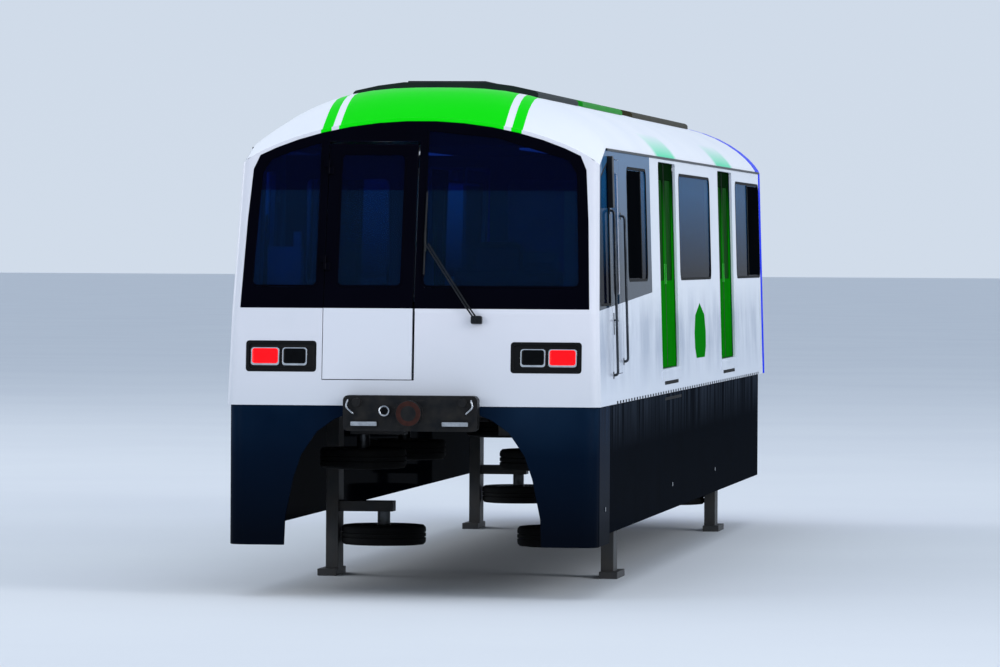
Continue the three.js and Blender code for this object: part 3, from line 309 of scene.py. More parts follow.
def combined(tree, operation, *values):
    """Sums, products or extremes of several values."""
    result = values[0]
    for value in values[1:]:
        result = add(tree, "ShaderNodeMath", {0: result, 1: value}, operation=operation).outputs[0]
    return result


def overpaint(material, mask, hex_code):
    """Lays another colour over a finish where the mask is one."""
    tree = material.node_tree
    base = tree.nodes["Principled BSDF"].inputs["Base Color"]
    tree.links.new(mixed(tree, mask, base.links[0].from_socket, colour(hex_code)), base)


def banded(material, axis, low, high, hex_code):
    """Lays another colour over a finish between two places on an axis."""
    tree, *places = axes(material)
    overpaint(material, inside(tree, places["XYZ".index(axis)], low, high), hex_code)


FLOOR_TOP, WELL_TOP = 1.770, 2.372
BENCH_TOP, CUSHION_SINK = 2.190, 0.045
# Rolled vinyl with fine flecks; the shells are a paler moulded plastic.
vinyl = finish("rolled_vinyl", "6E7478", "5F6569", 0.55, mottle=60, peel=(1.5, 0.05), specular=0.3)
banded(vinyl, "Z", FLOOR_TOP + 0.006, 3.0, "9AA1A7")
tree, x, y, z = axes(vinyl)
off_centre = combined(tree, "ABSOLUTE", x, 0.0)
wells = combined(tree, "MULTIPLY", inside(tree, z, 1.0, WELL_TOP), inside(tree, off_centre, -1, 0.5005))
in_wells = combined(tree, "MULTIPLY", wells, inside(tree, z, FLOOR_TOP + 0.003, WELL_TOP))
overpaint(vinyl, combined(tree, "MAXIMUM", inside(tree, z, 1.0, FLOOR_TOP - 0.0015), in_wells), "101214")


def is_bench(middle, normal):
    return normal.z > 0.99 and abs(middle.z - BENCH_TOP) < 0.002


deck = sunk(skin("underframe_floor"), is_bench, (0.012, -CUSHION_SINK))
fit(ease(deck, 0.006), vinyl, "car_body", ["underframe_floor"])

# Bogies: a welded steel frame lies under the floor and its legs reach down on both sides. Each carries two
# air springs of pleated rubber, and a finned traction motor beside each axle.
# Chassis paint over welded plate, dulled by brake and road dust.
chassis_paint = finish("chassis_paint", "26292C", "3A3633", 0.6, 0.0, mottle=180, peel=(4, 0.12))
# Vulcanised rubber with carbon black, slightly dusty.
rubber = finish("vulcanised_rubber", "0E0F11", "181817", 0.7, mottle=120, peel=(2, 0.05), specular=0.1)


def start(name, kind, **settings):
    """Adds a primitive at its size and place as the start of a piece."""
    bpy.ops.object.select_all(action="DESELECT")
    getattr(bpy.ops.mesh, f"primitive_{kind}_add")(**settings)
    piece = bpy.context.object
    piece.name = name
    bpy.ops.object.transform_apply(location=True, rotation=True, scale=True)
    return piece


def trace(name, points):
    """One corner drawn out from point to point into a line of edges."""
    piece = start(name, "plane", size=0.001, location=points[0])
    opened(piece)
    bpy.ops.mesh.select_mode(type="VERT")
    everything()
    bpy.ops.mesh.merge(type="CENTER")
    for here, there in zip(points, points[1:]):
        step = [b - a for a, b in zip(here, there)]
        bpy.ops.mesh.extrude_region_move(TRANSFORM_OT_translate={"value": step})
    shut()
    return piece


def closed(piece, angle):
    """Merges the doubles of an open piece, turns its faces outwards, shuts and smooths it."""
    everything()
    bpy.ops.mesh.remove_doubles(threshold=0.00005)
    bpy.ops.mesh.normals_make_consistent(inside=False)
    shut()
    bpy.ops.object.shade_smooth_by_angle(angle=math.radians(angle))
    return piece


def spun(name, profile, centre, axis, steps=32, angle=32):
    """A profile of radius and place along the axis, spun into a closed ring or disc."""
    along = Vector([float(word == axis) for word in "XYZ"])
    across = Vector((0, 1, 0)) if axis == "X" else Vector((1, 0, 0))
    points = [Vector(centre) + across * radius + along * place for radius, place in profile]
    piece = trace(name, points)
    opened(piece)
    bpy.ops.mesh.spin(steps=steps, angle=2 * math.pi, center=centre, axis=along)
    return closed(piece, angle)


def moved(piece, change):
    """Moves, turns or mirrors a piece's mesh by a matrix, its faces still outwards."""
    piece.data.transform(change)
    if change.determinant() < 0:
        piece.data.flip_normals()
    return piece


def about(place, change):
    """A turn or a scaling about a place."""
    there = Matrix.Translation(place)
    return there @ change @ there.inverted()


def copied(piece, name, change):
    """A copy with its own mesh, put in its place by a matrix."""
    twin = piece.copy()
    twin.data = piece.data.copy()
    twin.name = name
    bpy.context.scene.collection.objects.link(twin)
    return moved(twin, change)


def merged(name, pieces):
    """Several pieces joined into one mesh."""
    bpy.ops.object.select_all(action="DESELECT")
    for piece in pieces:
        piece.select_set(True)
    bpy.context.view_layer.objects.active = pieces[0]
    if len(pieces) > 1:
        bpy.ops.object.join()
    pieces[0].name = name
    return pieces[0]


def repeated(piece, name, changes):
    """Copies of a piece, one for each matrix, joined into one mesh in its stead."""
    copies = [copied(piece, name, change) for change in changes]
    bpy.data.objects.remove(piece)
    return merged(name, copies)


def around(piece, name, count, centre, axis):
    """A piece repeated round an axis."""
    turns = [Matrix.Rotation(2 * math.pi * k / count, 4, axis) for k in range(count)]
    return repeated(piece, name, [about(centre, turn) for turn in turns])


def row(piece, name, count, step):
    """A piece repeated in a straight row."""
    return repeated(piece, name, [Matrix.Translation(Vector(step) * k) for k in range(count)])


SIDES = ((1, "right"), (-1, "left"))
WAYS = ((-1, "fore"), (1, "aft"))
BOGIES = {"front": -4.2, "rear": 5.4}
SPRING_X = 0.9
AXLE_REACH = 0.75
MOTOR_Z = 1.545
FIN_COUNT, FIN_PITCH = 9, 0.05
mirror_x = Matrix.Scale(-1, 4, (1, 0, 0))
# Radius and place of a cooling fin on a traction motor
FIN = [(0.124, 0.50), (0.136, 0.50), (0.136, 0.508), (0.124, 0.508), (0.124, 0.50)]
# Radius and height of the pleats of an air spring
PLEATS = [(0.20, 1.604), (0.236, 1.612), (0.246, 1.628), (0.236, 1.644), (0.224, 1.650)]
pleat_rise = PLEATS + [(radius, 3.3 - height) for radius, height in reversed(PLEATS)]
for end, middle in BOGIES.items():
    dress(f"bogie_frame_{end}", chassis_paint, 0.005)
    springs = [
        spun(f"air_spring_{end}_{side}", pleat_rise + pleat_rise[:1], (side * SPRING_X, middle, 0), "Z", 40)
        for side in (-1, 1)
    ]
    fit(merged(f"air_springs_{end}", springs), rubber, f"bogie_{end}")
    for side, hand in SIDES:
        motor = (0, middle + side * AXLE_REACH, MOTOR_Z)
        fin = spun("fin", FIN, motor, "X", 36)
        fins = row(fin, f"motor_fins_{end}_{hand}", FIN_COUNT, (FIN_PITCH, 0, 0))
        if side < 0:
            moved(fins, mirror_x)
        fit(fins, chassis_paint, f"bogie_{end}")

# Wheels: twin running tyres stand on each steel axle, and guide and stabilising tyres lie flat between the
# legs. Rubber is moulded over steel discs, which are bolted to their hubs.
# Cast and machined steel, greased and dark.
wheel_steel = finish("machined_wheel_steel", "5A5D60", "3C3B39", 0.42, 0.9, mottle=70, peel=(2, 0.03))
TYRE_RADIUS = 0.490
AXLE_Z = 1.840
GROOVES = (0.145, 0.200, 0.255)
GROOVE_HALF, GROOVE_DEPTH = 0.006, 0.012
tyre_profile = [(0.285, 0.070), (0.36, 0.058), (0.43, 0.060), (0.470, 0.070), (0.484, 0.084)]
tyre_profile.append((TYRE_RADIUS, 0.104))
for place in GROOVES:
    tyre_profile += [
        (TYRE_RADIUS, place - GROOVE_HALF),
        (TYRE_RADIUS - GROOVE_DEPTH, place - GROOVE_HALF / 2),
        (TYRE_RADIUS - GROOVE_DEPTH, place + GROOVE_HALF / 2),
        (TYRE_RADIUS, place + GROOVE_HALF),
    ]
tyre_profile += [(radius, 0.4 - place) for radius, place in reversed(tyre_profile[:6])]
tyre_profile.append(tyre_profile[0])
RIM = [(0.286, 0.074), (0.270, 0.074), (0.262, 0.150), (0.150, 0.168), (0.120, 0.120), (0.061, 0.120)]
rim_profile = RIM + [(0.061, 0.300), (0.125, 0.300), (0.155, 0.250), (0.262, 0.262)]
rim_profile += [(0.270, 0.326), (0.286, 0.326)]
rim_profile.append(rim_profile[0])
BOLT_CIRCLE, RIM_BOLTS = 0.205, 10


def bolt(name, centre, radius, height, axis):
    """A six-sided bolt head with eased edges, standing along an axis."""
    turn = (0, math.pi / 2, 0) if axis == "X" else (0, 0, 0)
    piece = start(name, "cylinder", vertices=6, radius=radius, depth=height, location=centre, rotation=turn)
    return ease(piece, radius * 0.12, 1)


for end, middle in BOGIES.items():
    for way, word in WAYS:
        centre = (0, middle + way * AXLE_REACH, AXLE_Z)
        node = f"wheelset_{end}_{word}"
        tyre = spun(f"{node}_tyres", tyre_profile, centre, "X", 64)
        twin = copied(tyre, "tyre_twin", mirror_x)
        fit(merged(tyre.name, [tyre, twin]), rubber, node)
        rim = spun(f"{node}_rims", rim_profile, centre, "X", 48)
        head = bolt("rim_bolt", (0.268, centre[1] + BOLT_CIRCLE, AXLE_Z), 0.016, 0.02, "X")
        heads = around(head, "rim_bolts", RIM_BOLTS, centre, "X")
        half = merged(rim.name, [rim, heads])
        axle = spun("axle", [(0.0, -0.379), (0.050, -0.379), (0.060, -0.370), (0.060, 0)], centre, "X", 32)
        half = merged(rim.name, [half, axle])
        whole = merged(rim.name, [half, copied(half, "rim_twin", mirror_x)])
        fit(whole, wheel_steel, node, [node])

SIDE_WHEEL_X, SIDE_RADIUS = 0.765, 0.365
GUIDE_REACH, GUIDE_Z, STABILISER_Z = 1.25, 1.05, 0.35
HUB_CIRCLE, HUB_BOLTS = 0.15, 8
side_tyre = [(0.235, -0.070), (0.31, -0.088), (0.345, -0.084), (0.361, -0.068), (SIDE_RADIUS, -0.05)]
side_tyre += [(SIDE_RADIUS, -0.026), (0.355, -0.023), (0.355, -0.017), (SIDE_RADIUS, -0.014)]
side_tyre += [(radius, -height) for radius, height in reversed(side_tyre)] + side_tyre[:1]
side_rim = [(0.0, -0.060), (0.075, -0.060), (0.085, -0.030), (0.205, -0.030), (0.220, -0.075)]
side_rim += [(0.237, -0.075), (0.237, 0.075), (0.220, 0.075), (0.205, 0.035), (0.090, 0.035)]
side_rim += [(0.055, 0.085), (0.055, 0.1997), (0.0, 0.1997)]


def side_wheel(node, centre):
    tyre = spun(f"{node}_tyre", side_tyre, centre, "Z", 48)
    fit(tyre, rubber, node)
    rim = spun(f"{node}_rim", side_rim, centre, "Z", 48)
    low = Vector(centre) + Vector((HUB_CIRCLE, 0, -0.036))
    heads = around(bolt("hub_bolt", low, 0.015, 0.014, "Z"), "hub_bolts", HUB_BOLTS, centre, "Z")
    fit(merged(rim.name, [rim, heads]), wheel_steel, node, [node])


for end, middle in BOGIES.items():
    for side, hand in SIDES:
        for way, word in WAYS:
            centre = (side * SIDE_WHEEL_X, middle + way * GUIDE_REACH, GUIDE_Z)
            side_wheel(f"guide_wheel_{end}_{word}_{hand}", centre)
        side_wheel(f"stabiliser_wheel_{end}_{hand}", (side * SIDE_WHEEL_X, middle, STABILISER_Z))

# Side walls: aluminium extrusions welded into one panel a side and painted white. Coloured films are
# stuck on the paint: a dark one round the cab's windows, a green patch and a blue end.
FACE = -7.95
BODY_BOTTOM, WAIST = 1.55, 2.30
LEAN = 64 / 2090
DOOR_CENTRES = {"front": FACE + 5.94, "rear": FACE + 11.73}
# Two-pack gloss over filled aluminium, a cool white with a faint orange peel.
WHITE, WHITE_SHADE = "E6EBF5", "DDE3F0"
two_pack = {"mottle": 900, "peel": (6, 0.02)}
side_paint = finish("white_gloss_sides", WHITE, WHITE_SHADE, 0.16, **two_pack)
# A painted reflection lies on the walls below the windows as soft blue-grey streaks.
tree, x, y, z = axes(side_paint)


def streaks(tree, size, height, amount):
    """Soft upright streaks of a width and height in metres, from none to the amount."""
    drawn = noise(tree, on_object(tree), 1, 3, (1, 1 / size, 1 / height))
    return remap(tree, drawn, 0.35, 0.65, 0.0, amount)


# Painted reflection: blue-grey streaks over the white between the skirt's top and the windows.
painted_reflection_band = combined(tree, "MULTIPLY", remap(tree, z, 1.62, 1.95), remap(tree, z, 2.50, 2.20))
overpaint(side_paint, combined(tree, "MULTIPLY", painted_reflection_band, streaks(tree, 0.55, 0.9, 0.65)), "8997B0")


def faded(material, axis, clear, full, hex_code):
    """Lays another colour over a finish, growing from one place on an axis to another."""
    tree, *places = axes(material)
    overpaint(material, remap(tree, places["XYZ".index(axis)], clear, full), hex_code)


# Cast vinyl films, smoother and less glossy than the paint, so that their colours stay deep at a glance
# along the car. The dark one pales upwards with a painted reflection of the sky.
film_gloss = {"mottle": 500, "peel": (5, 0.01), "specular": 0.0}
dark_film = finish("dark_window_film", "182B3E", "142536", 0.12, coat=0.36, **film_gloss)
faded(dark_film, "Z", 2.6, 3.7, "3C6890")
green_film = finish("green_vinyl_film", "047E0A", "047608", 0.3, coat=0.01, **film_gloss)
blue_film = finish("blue_vinyl_film", "0634F0", "052CE4", 0.3, coat=0.05, **film_gloss)
FILM_THICKNESS = 0.0006


def wall_x(z):
    return 1.519 - LEAN * (z - BODY_BOTTOM)


def film(name, node, side, trims, material, body="car_body"):
    """A thin film on a panel's outer face. Each trim is a point and the direction that is cut away."""
    piece = skin(node, name)
    choose(piece, lambda middle, normal: normal.x * side < 0.9 or side * middle.x < wall_x(middle.z) - 0.0105)
    bpy.ops.mesh.delete(type="FACE")
    everything()
    bpy.ops.mesh.quads_convert_to_tris()
    for point, away in trims:
        everything()
        bpy.ops.mesh.bisect(plane_co=point, plane_no=away, clear_outer=True)
    everything()
    bpy.ops.mesh.dissolve_limited(angle_limit=FLATNESS)
    shut()
    return fit(worked(piece, "SOLIDIFY", thickness=FILM_THICKNESS, offset=1), material, body)


BAND_RISE = 0.030
BAND_FOOT = ((0, FACE + 0.09, 2.324), (0, BAND_RISE, -1))
BAND_REAR = ((0, FACE + 4.40, 0), (0, 1, 0))
# Corners of the green patch along the car and up it, once round, and the cuts from each to the next
PATCH = ((0.41, 1.82), (1.23, 1.82), (1.36, 1.92), (1.38, 2.06), (1.27, 2.22), (0.82, 2.33), (0.37, 2.22))
PATCH += ((0.26, 2.06), (0.28, 1.92))
PATCH_EDGES = [
    ((0, *here), (0, there[1] - here[1], here[0] - there[0]))
    for here, there in zip(PATCH, PATCH[1:] + PATCH[:1])
]
BLUE_FRONT = ((0, 7.71, 0), (0, -1, 0))
for side, hand in SIDES:
    wall = f"side_wall_{hand}"
    film("dark_band", wall, side, (BAND_FOOT, BAND_REAR), dark_film)
    film("green_patch", wall, side, PATCH_EDGES, green_film)
    film("blue_end", wall, side, (BLUE_FRONT,), blue_film)
    dress(wall, side_paint, 0.004)

# Side windows: tinted toughened glass, flush in black rubber seals. The imported panes stay.
# Float glass in a deep blue tint that shows the inside only faintly. A painted reflection makes it paler up
# high, where it would mirror the sky, and darkest at its foot.
clear = {"peel": (400, 0.02), "Transmission_Weight": 0.80, "IOR": 1.01}
glass = finish("tinted_float_glass", "1E5680", "1C5078", 0.02, coat=0.02, **clear)
faded(glass, "Z", 2.85, 3.35, "3A8CC2")
faded(glass, "Z", 2.85, 2.60, "101830")


def seal(pane, outward, width, height):
    """A rubber ring round a pane's outer face, standing up from it by its height."""
    piece = skin(pane, "seal")
    choose(piece, lambda middle, normal: normal.dot(outward) < 0.7)
    bpy.ops.mesh.delete(type="FACE")
    everything()
    bpy.ops.mesh.inset(thickness=width, depth=0)
    bpy.ops.mesh.delete(type="FACE")
    shut()
    return ease(worked(piece, "SOLIDIFY", thickness=height, offset=1), 0.0015, 1)


def glazed(node, material):
    """Puts its glass into a packed pane."""
    panes = frame["nodes"][node].data.materials
    panes.clear()
    panes.append(material)


for side, hand in SIDES:
    for window in ("cab_window", "forward_window", "saloon_window", "rear_window"):
        node = f"{window}_{hand}"
        glazed(node, glass)
        fit(seal(node, Vector((side, 0, 0)), 0.022, 0.0095), rubber)


def slab(name, near, far, radius=0.0, across="X", steps=4):
    """A box between two opposite corners, its four edges along one axis rounded."""
    low, high = (Vector([pick(pair) for pair in zip(near, far)]) for pick in (min, max))
    piece = start(name, "cube", size=1, location=(low + high) / 2, scale=high - low)
    if radius:
        axis = Vector([float(word == across) for word in "XYZ"])
        choose(piece, lambda middle, run: abs(run.dot(axis)) > 0.9, "EDGE")
        bpy.ops.mesh.bevel(offset=radius, segments=steps, affect="EDGES")
        shut()
    return piece


def leant(piece, side):
    """Turns a piece that stands on the wall's line at the waist so that it leans with the wall."""
    lean = Matrix.Rotation(-side * math.atan(LEAN), 4, "Y")
    return moved(piece, about((side * wall_x(WAIST), 0, WAIST), lean))


def on_wall(name, side, ends, heights, depth, proud, radius=0.0):
    """A plate on the leaning wall from a depth under its face to a height proud of it."""
    face = wall_x(WAIST)
    (start_y, end_y), (low, high) = ends, heights
    near, far = (side * (face - depth), start_y, low), (side * (face + proud), end_y, high)
    return leant(slab(name, near, far, radius), side)


# Window bars and drop lights: black extrusions part the fixed glass from the lights that drop, which
# carry a nearly opaque film on their inner side.
# Near-black film, which takes all its gloss from the glass.
black_film = finish("black_privacy_film", "05070A", "07090C", 0.08, peel=(400, 0.02), specular=0.0)
BAR_WIDTH, BAR_HEIGHTS = 0.05, (2.575, 3.495)
BARS = (FACE + 3.57, FACE + 14.25)
DROP_LIGHTS, DROP_HEIGHTS = ((FACE + 2.475, FACE + 3.565), (FACE + 14.305, FACE + 15.615)), (2.58, 3.49)
for side, hand in SIDES:
    bars = [on_wall("bar", side, (place, place + BAR_WIDTH), BAR_HEIGHTS, 0.010, 0.001) for place in BARS]
    fit(ease(merged(f"window_bars_{hand}", bars), 0.001, 1), rubber)
    lights = [on_wall("light", side, ends, DROP_HEIGHTS, 0.0078, -0.0035, 0.05) for ends in DROP_LIGHTS]
    fit(ease(merged(f"drop_lights_{hand}", lights), 0.0008, 1), black_film)

# Gutters, grab rails and camera housings: a dark channel runs under the roof's edge, stainless rails stand
# on feet beside the cab door, and a camera looks back along the doors from a dark housing.
# Dark anodised aluminium extrusion.
gutter_metal = finish("dark_anodised_gutter", "14171B", "1D2126", 0.4, 0.3, mottle=300, specular=0.1)
# Stainless tube, darkened by weather.
rail_metal = finish("weathered_stainless_tube", "4A4F55", "24272B", 0.28, 1.0, mottle=160, peel=(2, 0.02))


def tube(name, points, radius, sides=4):
    """A line of points turned into a round tube with closed ends."""
    piece = trace(name, points)
    only(piece)
    bpy.ops.object.convert(target="CURVE")
    piece = bpy.context.object
    piece.data.bevel_depth = radius
    piece.data.bevel_resolution = sides
    piece.data.use_fill_caps = True
    bpy.ops.object.convert(target="MESH")
    piece = bpy.context.object
    piece.name = name
    opened(piece)
    return closed(piece, 40)


def curved(corners, radius, steps=4):
    """The points of a line whose inner corners are rounded."""
    corners = [Vector(corner) for corner in corners]
    points = [corners[0]]
    for before, here, after in zip(corners, corners[1:], corners[2:]):
        start_point = here + (before - here).normalized() * radius
        end_point = here + (after - here).normalized() * radius
        for k in range(steps + 1):
            t = k / steps
            points.append(start_point * (1 - t) ** 2 + here * (2 * t * (1 - t)) + end_point * t**2)
    return points + [corners[-1]]


def off_wall(side, distance, place, height):
    """A point a distance outside a side wall."""
    return (side * (wall_x(height) + distance), place, height)


RAIL_OUT, RAIL_IN, RAIL_BEND, RAIL_RADIUS = 0.036, -0.004, 0.03, 0.011
FOOT_HALF_WIDTH, FOOT_HALF_HEIGHT = 0.022, 0.03
# Where each rail stands along the car, and its lower and upper foot
RAILS = ((FACE + 1.095, 1.79, 3.14), (FACE + 1.905, 1.89, 3.10))
for side, hand in SIDES:
    strip = on_wall(f"gutter_{hand}", side, (FACE + 0.92, 7.72), (3.628, 3.648), 0.002, 0.012)
    fit(ease(strip, 0.003, 2), gutter_metal)
    rails = []
    for place, low, high in RAILS:
        bends = ((RAIL_IN, low), (RAIL_OUT, low), (RAIL_OUT, high), (RAIL_IN, high))
        path = [off_wall(side, distance, place, height) for distance, height in bends]
        rails.append(tube("rail", curved(path, RAIL_BEND), RAIL_RADIUS))
        for foot in (low, high):
            ends = (place - FOOT_HALF_WIDTH, place + FOOT_HALF_WIDTH)
            heights = (foot - FOOT_HALF_HEIGHT, foot + FOOT_HALF_HEIGHT)
            rails.append(ease(on_wall("rail_foot", side, ends, heights, 0.001, 0.005, 0.012), 0.0015, 1))
    fit(merged(f"grab_rails_{hand}", rails), rail_metal)
    ends = (FACE + 0.955, FACE + 1.085)
    housing = on_wall(f"camera_housing_{hand}", side, ends, (3.16, 3.585), 0.002, 0.045, 0.03)
    fit(ease(housing, 0.008, 3), gutter_metal)

# Cab face: a moulded mask, a black glass-like surround set into it and an emergency door between the
# panes. All lie in one leaning face. The roof carries on the mask's paint and its green stripes.
front_paint = finish("white_gloss_front", "E0E0E7", "D8DAE1", 0.2, specular=0.12, **two_pack)
roof_paint = finish("white_gloss_roof", "F2F4F8", "ECEFF5", 0.3, specular=0.01, **two_pack)
GREEN, BLUE = "01E204", "0634F0"
for painted in (front_paint, roof_paint):
    tree, x, y, z = axes(painted)
    off_centre = combined(tree, "ABSOLUTE", x, 0.0)
    wide, narrow = inside(tree, off_centre, -1, 0.675), inside(tree, off_centre, 0.735, 0.822)
    stripes = combined(tree, "MAXIMUM", wide, narrow)
    crest = combined(tree, "MULTIPLY", inside(tree, y, -9.0, FACE + 1.86), inside(tree, z, 3.60, 5.0))
    overpaint(painted, combined(tree, "MULTIPLY", stripes, crest), GREEN)
# The mask greys towards its foot.
faded(front_paint, "Z", 2.15, 1.60, "D2D5DC")
# A green band crosses the roof's shoulder over each pair of doors, painted pale mint and fading upwards
# where a painted highlight of the sky washes it out. Blue rings the rear end.
tree, x, y, z = axes(roof_paint)
BAND_HIGHLIGHT_HALF, BAND_HIGHLIGHT_SOLID = 1.0, 0.7
for middle in DOOR_CENTRES.values():
    starts, stops = (
        remap(tree, y, middle + way * BAND_HIGHLIGHT_HALF, middle + way * BAND_HIGHLIGHT_SOLID) for way in (-1, 1)
    )
    # Painted highlight over the green band: pale mint on the shoulder, fading out upwards.
    green_band_and_highlight = combined(tree, "MULTIPLY", starts, stops, remap(tree, z, 3.86, 3.66))
    overpaint(roof_paint, green_band_and_highlight, "5FE3B0")
banded(roof_paint, "Y", 7.40, 8.30, BLUE)


def arch_z(x_place):
    """Height of the mask's upper edge."""
    share = min(1, abs(x_place) / (1.519 - LEAN * 1.95))
    return 3.5 + 0.385 * (1 - share**2) ** 0.8


def face_y(z_place):
    """The leaning cab face, which leans back more above the waist."""
    return FACE + 0.08 * (min(z_place, WAIST) - BODY_BOTTOM) + 0.25 * max(0, z_place - WAIST)


def is_brow(middle, run):
    high_up = middle.z > 3.45 and middle.z > arch_z(middle.x) - 0.012
    return high_up and abs(middle.y - face_y(middle.z)) < 0.004 and abs(run.x) > 0.2


mask = skin("front_mask")
choose(mask, is_brow, "EDGE")
bpy.ops.mesh.bevel(offset=0.024, segments=4, affect="EDGES", clamp_overlap=True)
shut()
fit(ease(mask, 0.003), front_paint, "car_body", ["front_mask"])
fit(ease(skin("roof"), 0.004), roof_paint, "car_body", ["roof"])
# Black enamel fired on glass, smooth and nearly black from every side.
enamel = {"base": "020209", "shade": "03030C", "peel": (300, 0.02), "specular": 0.02}
black_glass = finish("black_enamelled_glass", roughness=0.06, **enamel)
dress("windscreen_surround", black_glass, 0.002)
# Emergency door: white below the surround and black enamel above.
door_paint = finish("emergency_door_paint", roughness=0.1, **enamel)
banded(door_paint, "Z", 1.0, 2.335, "DCDEE5")
dress("emergency_door", door_paint, 0.003)
# Laminated windscreen glass with a blue tint, darker above the sunshade's edge.
clear = {"peel": (400, 0.02), "Transmission_Weight": 0.94, "IOR": 1.10}
screen_glass = finish("laminated_screen_glass", "28588E", "245286", 0.02, specular=0.1, **clear)
banded(screen_glass, "Z", 3.29, 5.0, "0A2468")
outward = Vector((0, -1, 0.25)).normalized()
for node in ("windscreen_left", "windscreen_right", "emergency_door_glass"):
    glazed(node, screen_glass)
    # Black sealant, as smooth as the enamel beside it.
    fit(seal(node, outward, 0.016, 0.0085), black_glass, frame["nodes"][node]["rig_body"])

# Lamp clusters: a black moulded bezel with a red tail lens outside and a headlamp inside, each on a pale
# reflector rim.
# Moulded black ABS with a fine satin grain.
bezel_plastic = finish("black_moulded_bezel", "060708", "0B0C0E", 0.35, peel=(1.5, 0.02), specular=0.15)
# Vacuum-metallised reflector, nearly a mirror.
reflector = finish("metallised_reflector", "C9CED4", "AEB4BB", 0.2, 1.0, mottle=60, peel=(3, 0.01))
# Red acrylic lens with a lamp lit behind it.
lit = {"Emission_Color": colour("FF0006"), "Emission_Strength": 0.75}
red_lens = finish("red_acrylic_lens", "F00010", "D8000C", 0.1, mottle=60, peel=(6, 0.1), specular=0.2, **lit)
# Smoked polycarbonate over an unlit headlamp.
dark_lens = finish("smoked_headlamp_lens", "030406", "07090C", 0.06, mottle=60, peel=(6, 0.05), specular=0.06)
# Each lens: its name, its inner and outer edge across the car, its finish and slot
LENSES = (("tail", 1.105, 1.315, red_lens, "lamp_red"), ("head", 0.878, 1.060, dark_lens, "black_trim"))
LENS_FOOT, LENS_TOP = 1.888, 2.010
RIM_WIDTH, CUP_BACK = 0.010, 0.0215


def on_face(piece):
    """Leans a piece, made upright with the face's plane at y zero, into the lower cab face."""
    turn = Matrix.Rotation(-math.atan(0.08), 4, "X")
    foot = Matrix.Translation((0, FACE, BODY_BOTTOM))
    return moved(piece, foot @ turn @ Matrix.Translation((0, 0, -BODY_BOTTOM)))


for side, hand in SIDES:
    dress(f"lamp_{hand}", bezel_plastic, 0.002)
    for lens_name, inner, outer, lens_material, lens_slot in LENSES:
        near = (side * (inner - RIM_WIDTH), 0.010, LENS_FOOT - 0.016)
        far = (side * (outer + RIM_WIDTH), CUP_BACK, LENS_TOP + 0.008)
        cup = slab(f"{lens_name}_rim_{hand}", near, far, 0.022, "Y")
        fit(ease(on_face(cup), 0.002), reflector)
        near, far = (side * inner, 0.001, LENS_FOOT), (side * outer, 0.012, LENS_TOP)
        lens = slab(f"{lens_name}_lens_{hand}", near, far, 0.02, "Y")
        lens = on_face(sunk(lens, lambda middle, normal: normal.y < -0.9, (0.012, 0.005)))
        fit(ease(lens, 0.003, 2, 20), lens_material)

# Wiper: a pivot below the glass carries twin arms to an upright blade beside the emergency door.
# Black powder coat on drawn steel, worn to a sheen.
wiper_metal = finish("black_powder_coat", "0C0E11", "1A1D21", 0.35, 0.3, peel=(1, 0.02), specular=0.3)
PIVOT_X, PIVOT_Z = 0.513, 2.249
FLAT_ON_FACE = (math.pi / 2, 0, 0)


def off_face(x_place, z_place, distance):
    """A point a distance in front of the cab face."""
    return Vector((x_place, face_y(z_place) - distance, z_place))


low, high = (PIVOT_X - 0.045, -0.055, PIVOT_Z - 0.035), (PIVOT_X + 0.045, 0.0, PIVOT_Z + 0.03)
base = slab("wiper_base", low, high, 0.012, "Y")
wiper = [ease(on_face(base), 0.006, 3)]
for shift in (-0.012, 0.012):
    arm = [
        off_face(PIVOT_X + shift, PIVOT_Z, 0.046),
        off_face(PIVOT_X + shift - 0.093, 2.375, 0.050),
        off_face(0.085 + shift, 2.86, 0.034),
    ]
    wiper.append(tube("arm", arm, 0.007, 3))
wiper.append(tube("blade_link", [off_face(0.075, 2.80, 0.034), off_face(0.070, 2.95, 0.034)], 0.010, 3))
blade_back = [off_face(0.070, 2.615, 0.022), off_face(0.070, 2.93, 0.030), off_face(0.074, 3.275, 0.022)]
wiper.append(tube("blade_back", blade_back, 0.007, 3))
fit(merged("wiper", wiper), wiper_metal)
edge = [off_face(0.070, 2.605, 0.007), off_face(0.074, 3.285, 0.007)]
fit(tube("wiper_blade_edge", edge, 0.006, 3), rubber)
cap_place = off_face(PIVOT_X, PIVOT_Z, 0.060)
cap_form = {"vertices": 24, "radius": 0.014, "depth": 0.014, "rotation": FLAT_ON_FACE}
cap = start("wiper_cap", "cylinder", location=cap_place, **cap_form)
fit(ease(cap, 0.004), wiper_metal)

# Roof gear: three low housings of dark coated sheet joined by a duct. Lids with louvres and round fan
# grilles lie on their flat tops.
# Coated steel sheet, weathered to a dull sheen; the middle housing is green.
gear_paint = finish("weathered_roof_coating", "1A2224", "262C2A", 0.55, peel=(4, 0.05), specular=0.1)
banded(gear_paint, "Y", FACE + 5.20, FACE + 8.58, "0C8A14")
banded(gear_paint, "Y", FACE + 9.40, FACE + 15.10, "35311F")
dress("roof_equipment", gear_paint, 0.008)
EQUIPMENT_TOP = 4.210
LID_HALF, LID_LENGTH, LID_HEIGHT, LID_PITCH = 0.33, 0.82, 0.012, 0.96
SLAT_COUNT, SLAT_PITCH = 24, 0.031
FAN_RADIUS, SPOKE_COUNT = 0.24, 16
